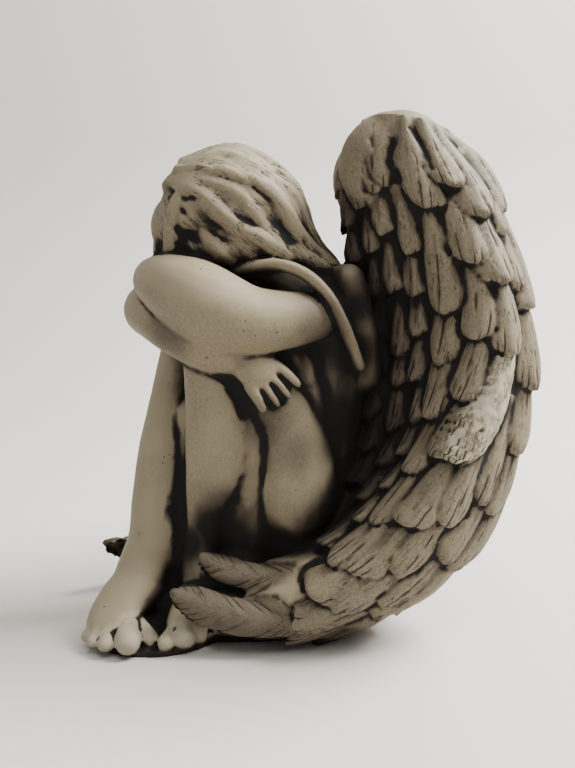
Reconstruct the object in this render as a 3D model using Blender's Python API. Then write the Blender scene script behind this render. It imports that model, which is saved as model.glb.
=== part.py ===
"""Seated angel figurine, cast in one piece.

The angel sits with her knees drawn up and her ankles together, her arms crossed over her knees and
her head laid on them, so that her face is hidden. Two tall cupped wings rise behind her back, and
their long feathers sweep round her hips and lie on the ground beside her feet.

Metres, +Z up, resting on Z = 0. She faces -Y, and her left side is +X.
The pose is written in hundredths of the figurine's height, so (10, -20, 50) is a point at half height.
"""

import math
import random

import bpy
import numpy as np
from mathutils import Matrix, Vector
from mathutils.bvhtree import BVHTree

# Driving dimensions, in metres
HEIGHT = 0.200  # from the table to the top of the wings
FEATHER_LIFT = 0.0044  # how far a feather's tip stands off the wing
FEATHER_THICKNESS = 0.0030
BODY_VOXEL = 0.0012  # grid that melts the limbs into one body
SKIN_VOXEL = 0.0011  # grid that melts body, hair and feathers into one casting
TRIANGLES = 9600  # faces of the finished solid

SHARE = HEIGHT / 100  # one hundredth of the height

# Limbs: rows of x, y, z and radius, or x, y, z, half width and half depth, in hundredths of the height
TORSO = [
    (0, 0, 12, 15, 13),
    (0, 1, 24, 13.5, 12),
    (0, 4.5, 38, 11.5, 9),
    (0, 5.5, 52, 12, 8.5),
    (0, 3.5, 62, 12, 7.5),
    (0, -2, 70, 7.5, 5.5),
    (0, -9, 76, 5.5, 5.5),
]
HEAD = [
    (0, -22, 78, 8, 7.5),
    (0, -18.5, 80.5, 10.5, 11.2),
    (0, -14, 81, 11.6, 12.5),
    (0, -8.5, 79, 11, 10.6),
    (0, -2.5, 74, 9, 6.6),
    (0, 3, 70, 7, 3.6),
    (0, 8, 67, 5, 2.2),
]
LEFT_THIGH = [
    (9, -13, 52.5, 5.6),
    (9.5, -7.2, 45, 6.1),
    (10, -4.2, 39.1, 6.6),
    (10.5, -2.8, 34.2, 7.2),
    (10.5, -2.2, 28.2, 7.8),
    (10, -2, 24.8, 7.6),
]
LEFT_CALF = [
    (8, -19.8, 56, 4.4),
    (9, -18.8, 47, 5.1),
    (9, -17.6, 38.6, 6.3),
    (9, -18, 32.7, 6.0),
    (8.5, -19.4, 26, 4.6),
    (8, -20.2, 20, 3.6),
    (9, -21.4, 12, 3.6),
    (10, -21, 6, 4),
]
# The hair that hangs beside the face and spreads over the shoulders
HAIR_SIDES = [
    (0, -24.5, 75, 7, 4),
    (0, -19, 74, 10.5, 4.6),
    (0, -13, 74.5, 11.8, 4.6),
    (0, -7, 74.6, 11.4, 4),
    (0, 0, 72, 9.6, 3),
    (0, 7, 69, 7.5, 2.2),
]
# What fills the space behind the face, under the arms, between the thigh and the calf, and under the knees
FOLDS = [
    [(0, -21, 71, 8, 4), (0, -14, 71, 9.5, 6), (0, -4, 67, 11, 6.5), (0, 3, 64, 11, 6)],
    [(4, -6, 58, 9, 6), (5, -2, 50, 7), (6, 0, 40, 7)],
    [(5, -12.5, 50, 7), (6.5, -11, 38, 7.4), (6, -11, 26, 7), (4, -11, 14, 8)],
    [(0, -20, 40, 5), (1, -21, 28, 5), (2, -21, 16, 6), (3, -20, 6, 8)],
]
# The dress over her shoulders and upper back, on both sides
SHOULDER = [(8.5, 8, 68, 3.2), (9, 9.5, 62, 3.2), (9, 11, 56, 3), (8.5, 12, 49, 3)]
LEFT_FOOT = [(10, -20.5, 5.5, 4.6), (14, -22.8, 5.2, 4.6), (17.6, -24.6, 3.8, 4.3, 3.2)]
RIGHT_THIGH = [(-9, 3, 24, 9), (-9.5, -3, 28, 8), (-9, -9, 36, 7.2), (-7.5, -15, 46, 6.4), (-6, -20, 54, 5.8)]
RIGHT_CALF = [
    (-6, -22.5, 56, 4.6),
    (-5, -25, 44, 5),
    (-3, -26.8, 33, 6),
    (-1, -28.4, 22.5, 6.1),
    (1.5, -29.4, 15.5, 6),
    (5.5, -33, 9.5, 5.3),
]
RIGHT_FOOT = [
    (1, -27.5, 7, 5, 5),
    (5.5, -32.6, 8.2, 5.2, 5.2),
    (10.8, -36.6, 6.4, 5.2, 4.2),
    (15, -38.4, 4.4, 5.2, 3),
    (17.2, -38.2, 3.4, 5, 2.4),
]
LEFT_ARM = [
    (10, 3, 61.5, 4.2),
    (12.8, -2.5, 61, 5.2),
    (14.8, -11, 60.8, 6.3),
    (14.2, -17.5, 62.6, 7.4),
    (11.8, -22, 65, 7.4),
    (8, -26, 67, 6.1),
    (2, -28.4, 67.8, 4.7),
    (-5, -27, 67.3, 4.4),
    (-12, -23.0, 66, 3.8),
]
RIGHT_ARM = [
    (-10, 3, 61, 4.6),
    (-13, -2.5, 60.5, 5.4),
    (-14.6, -11, 60.4, 6.4),
    (-13.5, -20, 61.0, 6.6),
    (-9.5, -27.4, 61.8, 5.8),
    (-3, -29.8, 61.8, 5.2),
    (3, -28.8, 61.2, 5.0),
    (8.5, -24.8, 58.6, 4.9),
    (12.4, -19.6, 56.2, 4.8),
    (14.0, -14, 55.0, 4.6, 3.4),
]

# Hands: wrist, knuckles and the outward side of the back of the hand
LEFT_HAND = ((-12, -22.5, 66), (-17.6, -16.5, 62.0), (-0.8, -0.45, 0.4))
RIGHT_HAND = ((14, -13.8, 55.4), (16.3, -9.3, 50.2), (0.94, -0.1, 0.33))
PALM_WIDTH = 7.6
PALM_DEPTHS = (2.6, 2.2, 1.9)  # half depths at the wrist, the middle and the knuckles
WRIST_HALF_WIDTH = 3.6
KNUCKLE_DEPTH = 0.8  # how far behind the knuckles the fingers are rooted
FINGER_LENGTH = 5.8
FINGER_RADIUS = 1.3
FINGER_BEND = 0.4

# Toes: tip and radius of each, and the point behind them that they grow from
RIGHT_TOES = [
    (19.2, -31.6, 2.6, 1.7),
    (21.4, -35.6, 2.9, 2.4),
    (20.4, -39.6, 2.4, 1.6),
    (18.4, -41.9, 2.2, 1.4),
    (16, -43, 2.4, 1.3),
]
RIGHT_TOES_FROM = (12, -35.5, 4.6)
LEFT_TOES = [
    (21.6, -28.7, 2.5, 1.6),
    (20.8, -25.2, 2.8, 2.2),
    (19.4, -22.3, 2.2, 1.4),
    (17.4, -20.8, 2.0, 1.2),
    (15.4, -20.2, 2.0, 1.1),
]
LEFT_TOES_FROM = (12, -23.5, 4.6)
ANKLE_BONES = [(4, -25.6, 12.6, 3.4)]

# The dress shows as a band round each arm's opening
BAND = [
    (8.5, -15.5, 69),
    (11.3, -9.5, 70.8),
    (13, -5.5, 70.8),
    (14.2, -1.5, 69.2),
    (15, 2, 66),
    (15.4, 5, 61),
    (15, 7, 56.5),
    (13.5, 9, 52),
]
BAND_WIDTH, BAND_THICKNESS = 2.0, 1.1
BAND_TAPER = (0.4, 0.75)  # shares of the width at its first points, where it comes out of the hair

# A wing's guides, each from its top round behind the body and forward to the feather tips.
# Inner, hollow, crest and rim lie across its face, then its back runs from the rim to the spine.
INNER = [
    (5, 11, 98.5), (4, 7, 90), (4, 9, 77.5), (4, 10, 63.5), (4, 9.5, 47.5), (5.5, 8, 33.5),
    (9, 6, 24.5), (13, 1, 17.5), (15.5, -8, 15.5), (15.5, -15.5, 15), (15.5, -21, 15),
]
HOLLOW = [
    (11, 14, 99), (13.5, 13.5, 88.5), (12.5, 17, 75.5), (11.5, 19.5, 62), (11.5, 19.5, 48.5),
    (13.5, 17.5, 36), (17.5, 10, 25.5), (21, 2, 18.5), (22, -5.5, 14), (20, -14, 12), (17.5, -22, 12.5),
]
CREST = [
    (14, 21, 97.5), (19, 26, 84.5), (23, 29, 73), (26, 30.5, 61.5), (28, 28, 49), (29.5, 23, 38),
    (30.5, 16.5, 27), (30, 8, 17.5), (27.5, -3, 11), (23, -15, 8.5), (19, -24, 9.5),
]
RIM = [
    (11, 25.5, 96.5), (14, 31.5, 88.5), (17, 35.5, 76), (20, 38, 62.5), (22, 38, 48), (24, 34.5, 34.5),
    (26, 27.5, 22.5), (27, 17, 13), (26, 2, 7), (23, -12, 5), (19, -23, 7),
]
SPINE = [
    (2, 17, 95), (-1, 17, 87), (-1, 18, 75.5), (-1, 19, 62), (-1, 20, 48), (-1, 20.5, 32),
    (-1, 16, 15), (2, 8, 5), (7, -2, 3), (10, -12, 3), (12, -20, 4.5),
]
BACK_BULGE = 4.5  # how far the back of a wing swells between its rim and the spine
WING_TOP = ((7.5, 17.5, 89.5), (6.5, 11.5, 10.5))
CORE_END = 0.9  # share of the guides' length that the wing's core fills; free feathers lie beyond it
CROWN = 0.2  # how far a feather's face swells from its edges to its middle, as a share of its width

# Feathers on a wing's face, in lanes from the body out:
# place across, width, length and the places of their tips down the wing
FACE_LANES = [
    (0.03, 4.4, 9, (0.14, 0.195, 0.25, 0.31, 0.37, 0.43, 0.49, 0.55)),
    (0.14, 4.8, 10, (0.165, 0.225, 0.285, 0.345, 0.40, 0.455, 0.51, 0.57)),
    (0.27, 5.6, 12, (0.135, 0.195, 0.275, 0.365, 0.41, 0.48, 0.54, 0.60, 0.71)),
    (0.39, 6, 12, (0.215, 0.275, 0.335, 0.40, 0.465, 0.52, 0.575, 0.64)),
    (0.50, 12, 21, (0.14, 0.295, 0.37, 0.455, 0.545, 0.635, 0.73)),
    (0.62, 11, 17, (0.10, 0.215, 0.33, 0.42, 0.515, 0.62, 0.72, 0.79)),
    (0.77, 10, 20, (0.15, 0.25, 0.35, 0.60, 0.69, 0.78)),
    (0.92, 10, 20, (0.19, 0.27, 0.56, 0.65, 0.74, 0.84)),
    (1.02, 9.5, 24, (0.17, 0.30, 0.40, 0.485, 0.57, 0.66, 0.76)),
]
# One long feather lies over the others: place across at its tip, width, length, place of the tip, lift, turn
OVER_FEATHER = (0.67, 8.5, 40, 0.515, 3.8, -0.24)
BACK_LANES = [
    (0.14, 10, 20, (0.20, 0.29, 0.38, 0.47, 0.56, 0.65, 0.75, 0.86)),
    (0.36, 10, 19, (0.17, 0.25, 0.335, 0.425, 0.515, 0.61, 0.71, 0.82)),
    (0.58, 9, 17, (0.15, 0.22, 0.30, 0.38, 0.47, 0.56, 0.66, 0.77)),
    (0.80, 8, 15, (0.14, 0.20, 0.27, 0.345, 0.43, 0.52, 0.62, 0.72)),
]
# The last feathers leave the wing and lie on the ground: centre line from root to tip, width, facing
LOW_FEATHER = (
    [(24.5, 11, 12.5), (26.5, 0, 8), (25.5, -11, 7.2), (23, -20, 8.8), (19.5, -27, 11.3)],
    7.4,
    (0.9, -0.1, 0.4),
)
INNER_FEATHER = (
    [(24.5, 9, 16), (22.5, 0, 13), (20, -8, 12.6), (17.6, -15.5, 13.8), (15.4, -22, 16)],
    6.4,
    (0.75, 0, 0.65),
)
LOW_RIDGE = [(19, 8, 8, 6), (18.5, -3, 6.5, 5.5), (17, -12, 6, 5), (14.5, -21, 5, 4)]  # what they lie on
# The right wing's low feather reaches further forward, beside her shin
LONG_FEATHER = (
    [(24.5, 11, 12.5), (26.5, -4, 8.6), (24.5, -17, 8.2), (19.5, -29, 8.8), (13, -42, 11.2)],
    7.6,
    (0.9, -0.3, 0.4),
)
LONG_RIDGE = [(19, 8, 8, 6), (19.5, -6, 6.5, 5.5), (18, -18, 6, 5), (14, -30, 6, 4.4)]
RIGHT_WING_SHIFT = (0, 2, -1.6)  # the right wing sits a little further back
FEATHER_SEED = 7
FEATHER_ALONG, FEATHER_ACROSS = 9, 6  # faces along and across a feather

# Hair flows back and down along an axis through the head; locks lie on the head at even turns about it
HAIR_ORIGIN = (0, -14, 77)
HAIR_AXIS = (0, 0.80, -0.60)
LOCK_COUNT = 14
LOCK_SPREAD = 118  # degrees to each side of the top
LOCK_START, LOCK_END = -15, 25  # along the axis
LOCK_RADIUS = 1.8
LOCK_SINK = 0.55  # how deep a lock's middle lies in the head, as a share of its radius
FRINGE = [(-21, 88.5), (-24.8, 84.5), (-27, 79), (-27.4, 73)]  # y and z of the locks over the forehead
FRINGE_PLACES = (-6, -2, 2, 6)

# The ground: centre, reach and height of each low mound
GROUND = [
    ((0, -12), (18.5, 27), 4.4),
    ((13, -30), (9.5, 12), 2.4),
    ((3, -20), (13, 13), 9),
    ((11, -13.5), (6.5, 8.5), 16),
    ((0, 2), (15, 12), 12),
]


def clear_scene():
    for obj in list(bpy.data.objects):
        bpy.data.objects.remove(obj)


def smooth_curve(rows, count):
    """count samples of a Catmull-Rom curve through rows of numbers."""
    given = np.array(rows, float)
    held = np.vstack([2 * given[0] - given[1], given, 2 * given[-1] - given[-2]])
    place = np.linspace(0, len(given) - 1, count)
    start = np.minimum(place.astype(int), len(given) - 2)
    f = (place - start)[:, None]
    a, b, c, d = (held[start + k] for k in range(4))
    return 0.5 * (2 * b + (c - a) * f + (2 * a - 5 * b + 4 * c - d) * f**2 + (3 * b - a - 3 * c + d) * f**3)


def unit(vectors):
    vectors = np.asarray(vectors, float)
    return vectors / np.linalg.norm(vectors, axis=-1, keepdims=True)


def lofted(rings):
    """A closed solid through rings of points, each end closed on its middle."""
    rings = np.asarray(rings, float)
    count, sides = rings.shape[:2]
    points = np.vstack([rings.reshape(-1, 3), rings[0].mean(0), rings[-1].mean(0)])
    first, last = count * sides, count * sides + 1
    faces = []
    for i in range(count - 1):
        for j in range(sides):
            k = (j + 1) % sides
            faces.append((i * sides + j, i * sides + k, (i + 1) * sides + k, (i + 1) * sides + j))
    for j in range(sides):
        k = (j + 1) % sides
        faces.append((first, k, j))
        faces.append((last, (count - 1) * sides + j, (count - 1) * sides + k))
    return points, faces


def limb(rows, side=(1, 0, 0), sides=18, steps=5):
    """A rounded solid along a smooth curve. Rows are x, y, z, half width along side, and half depth."""
    rows = [r if len(r) == 5 else (*r, r[3]) for r in rows]
    line = smooth_curve(rows, (len(rows) - 1) * steps + 1)
    centre, width, depth = line[:, :3], line[:, 3], line[:, 4]
    along = unit(np.gradient(centre, axis=0))
    across = np.array(side, float) - along * (along @ np.array(side, float))[:, None]
    across = unit(across)
    up = np.cross(along, across)
    caps = np.linspace(0, math.pi / 2, 5)[1:-1]
    stations = [(0, -math.sin(a), math.cos(a)) for a in caps[::-1]]
    stations += [(i, 0, 1) for i in range(len(line))]
    stations += [(-1, math.sin(a), math.cos(a)) for a in caps]
    turn = np.linspace(0, 2 * math.pi, sides, endpoint=False)
    rings = []
    for i, push, shrink in stations:
        reach = min(width[i], depth[i]) * push
        ring = np.outer(np.cos(turn), across[i]) * width[i] + np.outer(np.sin(turn), up[i]) * depth[i]
        rings.append(centre[i] + along[i] * reach + ring * shrink)
    return lofted(rings)


def ball(centre, radii, pitch=0.0, rings=14, sides=20):
    """An ellipsoid, pitched about X by some degrees."""
    turn = Matrix.Rotation(math.radians(pitch), 3, "X")
    angles = np.linspace(0, math.pi, rings + 1)[1:-1]
    around = np.linspace(0, 2 * math.pi, sides, endpoint=False)
    shape = []
    for a in angles:
        flat = np.stack([np.cos(around), np.sin(around), np.zeros(sides)], 1) * np.sin(a)
        ring = (flat - (0, 0, np.cos(a))) * np.array(radii)
        shape.append(ring @ np.array(turn).T + np.array(centre))
    return lofted(shape)


def mirrored(solid, shift=(0, 0, 0)):
    points, faces = solid
    return points * np.array([-1, 1, 1]) + np.array(shift), [tuple(reversed(f)) for f in faces]


def slab(top, bottom):
    """A closed solid between two grids of points, top and bottom, of the same size."""
    rows, columns = top.shape[:2]
    points = np.vstack([top.reshape(-1, 3), bottom.reshape(-1, 3)])
    under = rows * columns
    faces = []
    for i in range(rows - 1):
        for j in range(columns - 1):
            a, b = i * columns + j, (i + 1) * columns + j
            faces.append((a, b, b + 1, a + 1))
            faces.append((under + a, under + a + 1, under + b + 1, under + b))
    rim = [j for j in range(columns)]
    rim += [i * columns + columns - 1 for i in range(1, rows)]
    rim += [(rows - 1) * columns + j for j in range(columns - 2, -1, -1)]
    rim += [i * columns for i in range(rows - 2, 0, -1)]
    for a, b in zip(rim, rim[1:] + rim[:1]):
        faces.append((a, b, under + b, under + a))
    return points, faces


class Sheet:
    """A curved surface through guides: down runs along them, out runs across from the first to the last."""

    samples = 121

    def __init__(self, guides):
        self.down = np.linspace(0, 1, self.samples)
        along = np.stack([smooth_curve(g, self.samples) for g in guides], 1)
        self.grid = np.stack([smooth_curve(row, self.samples) for row in along])

    def point(self, down, out):
        """The surface at any place. Past an end or an edge it runs straight on."""
        down, out = np.broadcast_arrays(np.asarray(down, float), np.asarray(out, float))
        last = self.samples - 1
        d, o = down * last, out * last
        i = np.clip(d.astype(int), 0, last - 1)
        j = np.clip(o.astype(int), 0, last - 1)
        fd, fo = (d - i)[..., None], (o - j)[..., None]
        here = self.grid[i, j]
        return here + (self.grid[i + 1, j] - here) * fd + (self.grid[i, j + 1] - here) * fo

    def frame(self, down, out):
        """Point, steps for each unit of down and out, and normal."""
        down, out = np.asarray(down, float), np.asarray(out, float)
        small = 0.012
        d = (self.point(down + small, out) - self.point(down - small, out)) / (2 * small)
        o = (self.point(down, out + small) - self.point(down, out - small)) / (2 * small)
        return self.point(down, out), d, o, unit(np.cross(d, o))

    def feather(self, tip, out, length, width, lift=FEATHER_LIFT / SHARE, turn=0.0):
        """One feather that ends at tip and out: its root lies in the surface and its tip stands off it.

        turn is how much further in its root lies."""
        _, d, o, _ = self.frame(tip - 0.02, out)
        root = max(tip - length / np.linalg.norm(d), 0)
        half = width / 2 / np.linalg.norm(o)
        u = np.linspace(0, 1, FEATHER_ALONG + 1)
        v = np.linspace(-1, 1, FEATHER_ACROSS + 1)
        shape = 0.55 + 0.45 * np.sin(np.clip(u / 0.75, 0, 1) * math.pi / 2)
        shape *= np.sqrt(np.clip(1 - np.clip((u - 0.72) / 0.29, 0, 1) ** 2.4, 0.01, 1))
        uu, vv = np.meshgrid(u, v, indexing="ij")
        aside = out - turn * (1 - uu) + half * shape[:, None] * vv
        p, _, _, normal = self.frame(root + (tip - root) * uu, aside)
        thick = FEATHER_THICKNESS / SHARE
        height = lift * (uu**1.6 - 0.25) + CROWN * width * (0.5 - vv**2)
        return slab(p + normal * height[..., None], p + normal * (height - thick)[..., None])


def free_feather(line, width, facing):
    """A feather along a line of its own, with its face towards facing."""
    centre = smooth_curve(line, 9)
    side = unit(np.cross(facing, unit(np.gradient(centre, axis=0)))) * width / 2
    length = np.linalg.norm(np.diff(centre, axis=0), axis=1).sum()
    return Sheet([centre - side, centre, centre + side]).feather(1, 0.5, length, width)


def wing_solids(ridge, free_feathers):
    """A left wing: a core between its face and its back, the feathers on both, and those that lie free.

    The first three solids are the core, the round top and the ridge under the free feathers."""
    face = Sheet([INNER, HOLLOW, CREST, RIM])
    rim, spine = np.array(RIM, float), np.array(SPINE, float)
    across = unit(spine - rim)
    along = unit(np.gradient(rim, axis=0))
    outward = unit(np.cross(along, across))
    back = Sheet([rim, (rim + spine) / 2 + outward * BACK_BULGE, spine])
    down, out = np.meshgrid(np.linspace(0, CORE_END, 56), np.linspace(0, 1, 21), indexing="ij")
    made = [slab(face.point(down, out), back.point(down, 1 - out)), ball(*WING_TOP, pitch=8), limb(ridge)]
    chance = random.Random(FEATHER_SEED)
    for sheet, lanes in ((face, FACE_LANES), (back, BACK_LANES)):
        for out, width, length, tips in lanes:
            for tip in tips:
                aside = out + chance.uniform(-0.02, 0.02)
                wide = width * chance.uniform(0.92, 1.12)
                made.append(sheet.feather(tip, aside, length * chance.uniform(0.92, 1.08), wide))
    out, width, length, tip, lift, turn = OVER_FEATHER
    made.append(face.feather(tip, out, length, width, lift, turn))
    return made + [free_feather(*feather) for feather in free_feathers]


def hand(wrist, knuckles, outward, side=1):
    """The palm, and the four fingers that bend in over what the hand lies on."""
    wrist, knuckles = np.array(wrist, float), np.array(knuckles, float)
    along = unit(knuckles - wrist)
    outward = unit(np.array(outward, float) - along * np.dot(along, outward))
    across = np.cross(along, outward) * side
    middle = (wrist + knuckles) / 2
    half_widths = (WRIST_HALF_WIDTH, PALM_WIDTH * 0.52, PALM_WIDTH / 2)
    places = (wrist, middle, knuckles)
    palm = limb([(*p, w, d) for p, w, d in zip(places, half_widths, PALM_DEPTHS)], side=across)
    fingers = []
    for k in range(4):
        start = knuckles + across * (k - 1.5) / 4 * PALM_WIDTH - along * KNUCKLE_DEPTH
        spread = along + across * 0.12 * (k - 1.5)
        bend = unit(spread * 0.8 - outward * FINGER_BEND)
        reach = FINGER_LENGTH * (0.92, 1.0, 0.97, 0.8)[k]
        joint = start + spread * reach * 0.5
        tip = joint + bend * reach * 0.5
        rows = [(*start, FINGER_RADIUS * 1.1), (*joint, FINGER_RADIUS), (*tip, FINGER_RADIUS * 0.85)]
        fingers.append(limb(rows, side=across, sides=10, steps=3))
    return palm, fingers


def toes(rows, start):
    """Toes that fan out from a point inside the foot. Rows are x, y, z and radius of each tip."""
    start = np.array(start, float)
    made = []
    for *tip, radius in rows:
        root = start + (np.array(tip) - start) * 0.3
        made.append(limb([(*root, radius * 1.05), (*tip, radius)], side=(0, 0, 1), sides=10, steps=3))
    return made


def ground():
    """The low ground under the figure. It reaches below Z = 0, where it is cut flat."""
    return [ball((*centre, 0), (*reach, height)) for centre, reach, height in GROUND]


def body_parts():
    """Torso, head, limbs, palms and ground, before they are melted together."""
    upright = (TORSO, HEAD, HAIR_SIDES, LEFT_THIGH, LEFT_CALF, RIGHT_THIGH, RIGHT_CALF, *FOLDS)
    made = [limb(rows) for rows in upright]
    made += [limb(SHOULDER), mirrored(limb(SHOULDER))]
    made += [limb(LEFT_FOOT, side=(0.5, 0.85, 0)), limb(RIGHT_FOOT, side=(0.5, 0.85, 0))]
    made += [limb(LEFT_ARM, side=(0, 0, 1)), limb(RIGHT_ARM, side=(0, 0, 1))]
    made += [hand(*LEFT_HAND, -1)[0], hand(*RIGHT_HAND)[0]]
    made += [ball(centre, (size, size, size)) for *centre, size in ANKLE_BONES]
    return made + ground()


def fingers_and_toes():
    made = hand(*LEFT_HAND, -1)[1] + hand(*RIGHT_HAND)[1]
    return made + toes(LEFT_TOES, LEFT_TOES_FROM) + toes(RIGHT_TOES, RIGHT_TOES_FROM)


def hair_frame():
    """The hair's origin, its axis, and the upward direction across it."""
    axis = unit(HAIR_AXIS)
    return np.array(HAIR_ORIGIN, float), axis, np.cross((1, 0, 0), axis)


def hair_locks():
    """Raised locks on the head's surface, and the fringe that falls over the forehead."""
    heads = [BVHTree.FromPolygons(*[list(map(tuple, p)) for p in limb(rows)]) for rows in (HEAD, HAIR_SIDES)]
    origin, axis, up = hair_frame()
    far = 40
    made = []
    for k in range(LOCK_COUNT):
        turn = math.radians(LOCK_SPREAD) * (-1 + 2 * k / (LOCK_COUNT - 1))
        rows = []
        for place in np.linspace(LOCK_START, LOCK_END, 9):
            wave = turn + 0.07 * math.sin(place * 0.35 + k * 1.9)
            out = np.array([math.sin(wave), 0, 0]) + up * math.cos(wave)
            start = origin + axis * place + out * far
            depths = [head.ray_cast(Vector(start), Vector(-out))[3] for head in heads]
            depths = [depth for depth in depths if depth is not None]
            if not depths:
                continue
            share = 0.5 + 0.5 * math.sin(math.pi * (place - LOCK_START) / (LOCK_END - LOCK_START))
            sunk = start - out * (min(depths) + LOCK_SINK * LOCK_RADIUS)
            rows.append((*sunk, LOCK_RADIUS * share * (0.9 + 0.3 * (k % 2))))
        if len(rows) > 2:
            made.append(limb(rows, sides=10, steps=3))
    for x in FRINGE_PLACES:
        made.append(limb([(x, y + 0.05 * x * x, z, LOCK_RADIUS) for y, z in FRINGE], sides=10, steps=3))
    return made


def dress_band():
    """The band round each arm's opening."""
    shares = BAND_TAPER + (1,) * (len(BAND) - len(BAND_TAPER))
    rows = [(*p, BAND_WIDTH * share, BAND_THICKNESS) for p, share in zip(BAND, shares)]
    left = limb(rows, side=(1, 0, 0.3), sides=12)
    return [left, mirrored(left)]


def mesh_object(name, solids):
    """One object from closed solids, scaled from hundredths of the height to metres."""
    points, faces, start = [], [], 0
    for some, quads in solids:
        points.append(np.asarray(some) * SHARE)
        faces += [tuple(i + start for i in f) for f in quads]
        start += len(some)
    mesh = bpy.data.meshes.new(name)
    mesh.from_pydata(np.vstack(points).tolist(), [], faces)
    mesh.validate()
    obj = bpy.data.objects.new(name, mesh)
    bpy.context.scene.collection.objects.link(obj)
    return obj


def add_remesh(obj, voxel):
    remesh = obj.modifiers.new("Melt", "REMESH")
    remesh.mode = "VOXEL"
    remesh.voxel_size = voxel


def add_smooth(obj, factor, rounds):
    smooth = obj.modifiers.new("Soften", "SMOOTH")
    smooth.factor = factor
    smooth.iterations = rounds


def evaluated_solid(obj):
    """The object's shape with its modifiers, in hundredths of the height. The object is removed."""
    bpy.context.view_layer.update()
    shown = obj.evaluated_get(bpy.context.evaluated_depsgraph_get())
    mesh = shown.to_mesh()
    points = np.array([v.co[:] for v in mesh.vertices]) / SHARE
    faces = [tuple(p.vertices) for p in mesh.polygons]
    shown.to_mesh_clear()
    bpy.data.objects.remove(obj)
    return points, faces


def stone():
    material = bpy.data.materials.new("cast_stone")
    material.use_nodes = True
    shader = material.node_tree.nodes["Principled BSDF"]
    shader.inputs["Base Color"].default_value = (0.42, 0.37, 0.29, 1)
    shader.inputs["Roughness"].default_value = 0.75
    shader.inputs["Metallic"].default_value = 0
    return material


def largest_shell(points, faces):
    """The largest connected shell, without the small bubbles that melting can leave inside."""
    parent = list(range(len(points)))

    def root(i):
        while parent[i] != i:
            parent[i] = parent[parent[i]]
            i = parent[i]
        return i

    for face in faces:
        first = root(face[0])
        for corner in face[1:]:
            parent[root(corner)] = first
    roots = np.array([root(i) for i in range(len(points))])
    names, sizes = np.unique(roots, return_counts=True)
    kept = np.flatnonzero(roots == names[np.argmax(sizes)]).tolist()
    place = {old: new for new, old in enumerate(kept)}
    return points[kept], [tuple(place[i] for i in face) for face in faces if face[0] in place]


def casting(solids):
    """One solid of limited facets from closed solids, centred over the origin."""
    rough = mesh_object("rough", solids)
    add_remesh(rough, SKIN_VOXEL)
    add_smooth(rough, 0.5, 2)
    dense = largest_shell(*evaluated_solid(rough))
    triangles = sum(len(face) - 2 for face in dense[1])
    facets = mesh_object("facets", [dense])
    thin = facets.modifiers.new("Facets", "DECIMATE")
    thin.ratio = TRIANGLES / triangles
    points, faces = evaluated_solid(facets)
    low, high = points.min(axis=0), points.max(axis=0)
    middle = (low + high) / 2
    return points - np.array([middle[0], middle[1], 0]), faces


def slab_box():
    """A box below Z = 0 that cuts the underside flat."""
    reach, depth = 80, 20
    ring = np.array([(-reach, -reach), (reach, -reach), (reach, reach), (-reach, reach)], float)
    low = np.hstack([ring, np.full((4, 1), -float(depth))])
    high = np.hstack([ring, np.zeros((4, 1))])
    return lofted([low, high])


def build():
    clear_scene()
    body = mesh_object("body", body_parts())
    add_remesh(body, BODY_VOXEL)
    add_smooth(body, 0.5, 6)
    solids = [evaluated_solid(body)] + fingers_and_toes()
    solids += wing_solids(LOW_RIDGE, [LOW_FEATHER, INNER_FEATHER])
    solids += [mirrored(s, RIGHT_WING_SHIFT) for s in wing_solids(LONG_RIDGE, [LONG_FEATHER, INNER_FEATHER])]
    solids += hair_locks() + dress_band()

    figurine = mesh_object("angel_figurine", [casting(solids)])
    figurine.data.materials.append(stone())
    floor = mesh_object("floor_cutter", [slab_box()])
    floor.hide_render = True
    floor.display_type = "WIRE"
    cut = figurine.modifiers.new("Flat underside", "BOOLEAN")
    cut.operation = "DIFFERENCE"
    cut.solver = "EXACT"
    cut.object = floor


build()
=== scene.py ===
"""The seated stone angel with cupped wings, as in the photograph: the carved casting and its antique finish.

The solid's shapes are built again on a finer grid and carved: the feathers' barbs, splits and cuts, the
strands of hair, the slots between the fingers and the grit. Each point also gets what the finish and its
painted shade follow: how deep it lies, how much sky it sees, which sets the painted shade, and its place
on a feather or a strand. Metres, +Z up. The pose's numbers are hundredths of the height, and the
carving's are millimetres.
"""

import math
import random

import bmesh
import bpy
import numpy as np
from mathutils import Matrix, Vector
from mathutils.bvhtree import BVHTree
from mathutils.kdtree import KDTree


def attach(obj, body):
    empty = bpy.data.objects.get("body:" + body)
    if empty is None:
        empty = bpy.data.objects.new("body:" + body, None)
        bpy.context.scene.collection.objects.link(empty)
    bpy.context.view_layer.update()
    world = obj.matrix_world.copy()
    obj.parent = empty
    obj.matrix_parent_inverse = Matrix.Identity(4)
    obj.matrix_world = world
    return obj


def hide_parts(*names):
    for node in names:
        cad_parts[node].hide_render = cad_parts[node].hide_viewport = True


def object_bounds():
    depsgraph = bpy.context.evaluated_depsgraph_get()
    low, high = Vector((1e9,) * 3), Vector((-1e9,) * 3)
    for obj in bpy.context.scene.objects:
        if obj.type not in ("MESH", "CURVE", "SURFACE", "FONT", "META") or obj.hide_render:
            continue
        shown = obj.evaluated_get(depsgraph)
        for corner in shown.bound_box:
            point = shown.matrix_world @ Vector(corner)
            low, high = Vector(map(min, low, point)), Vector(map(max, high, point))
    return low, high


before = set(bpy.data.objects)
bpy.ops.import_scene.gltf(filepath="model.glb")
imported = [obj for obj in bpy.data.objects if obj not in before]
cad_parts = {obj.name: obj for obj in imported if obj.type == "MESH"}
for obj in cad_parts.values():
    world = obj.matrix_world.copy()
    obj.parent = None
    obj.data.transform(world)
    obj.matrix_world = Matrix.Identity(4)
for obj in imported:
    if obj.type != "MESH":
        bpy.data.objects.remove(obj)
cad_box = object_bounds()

HEIGHT = 0.200
FEATHER_LIFT = 0.0044
FEATHER_THICKNESS = 0.0030
BODY_VOXEL = 0.0012
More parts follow.
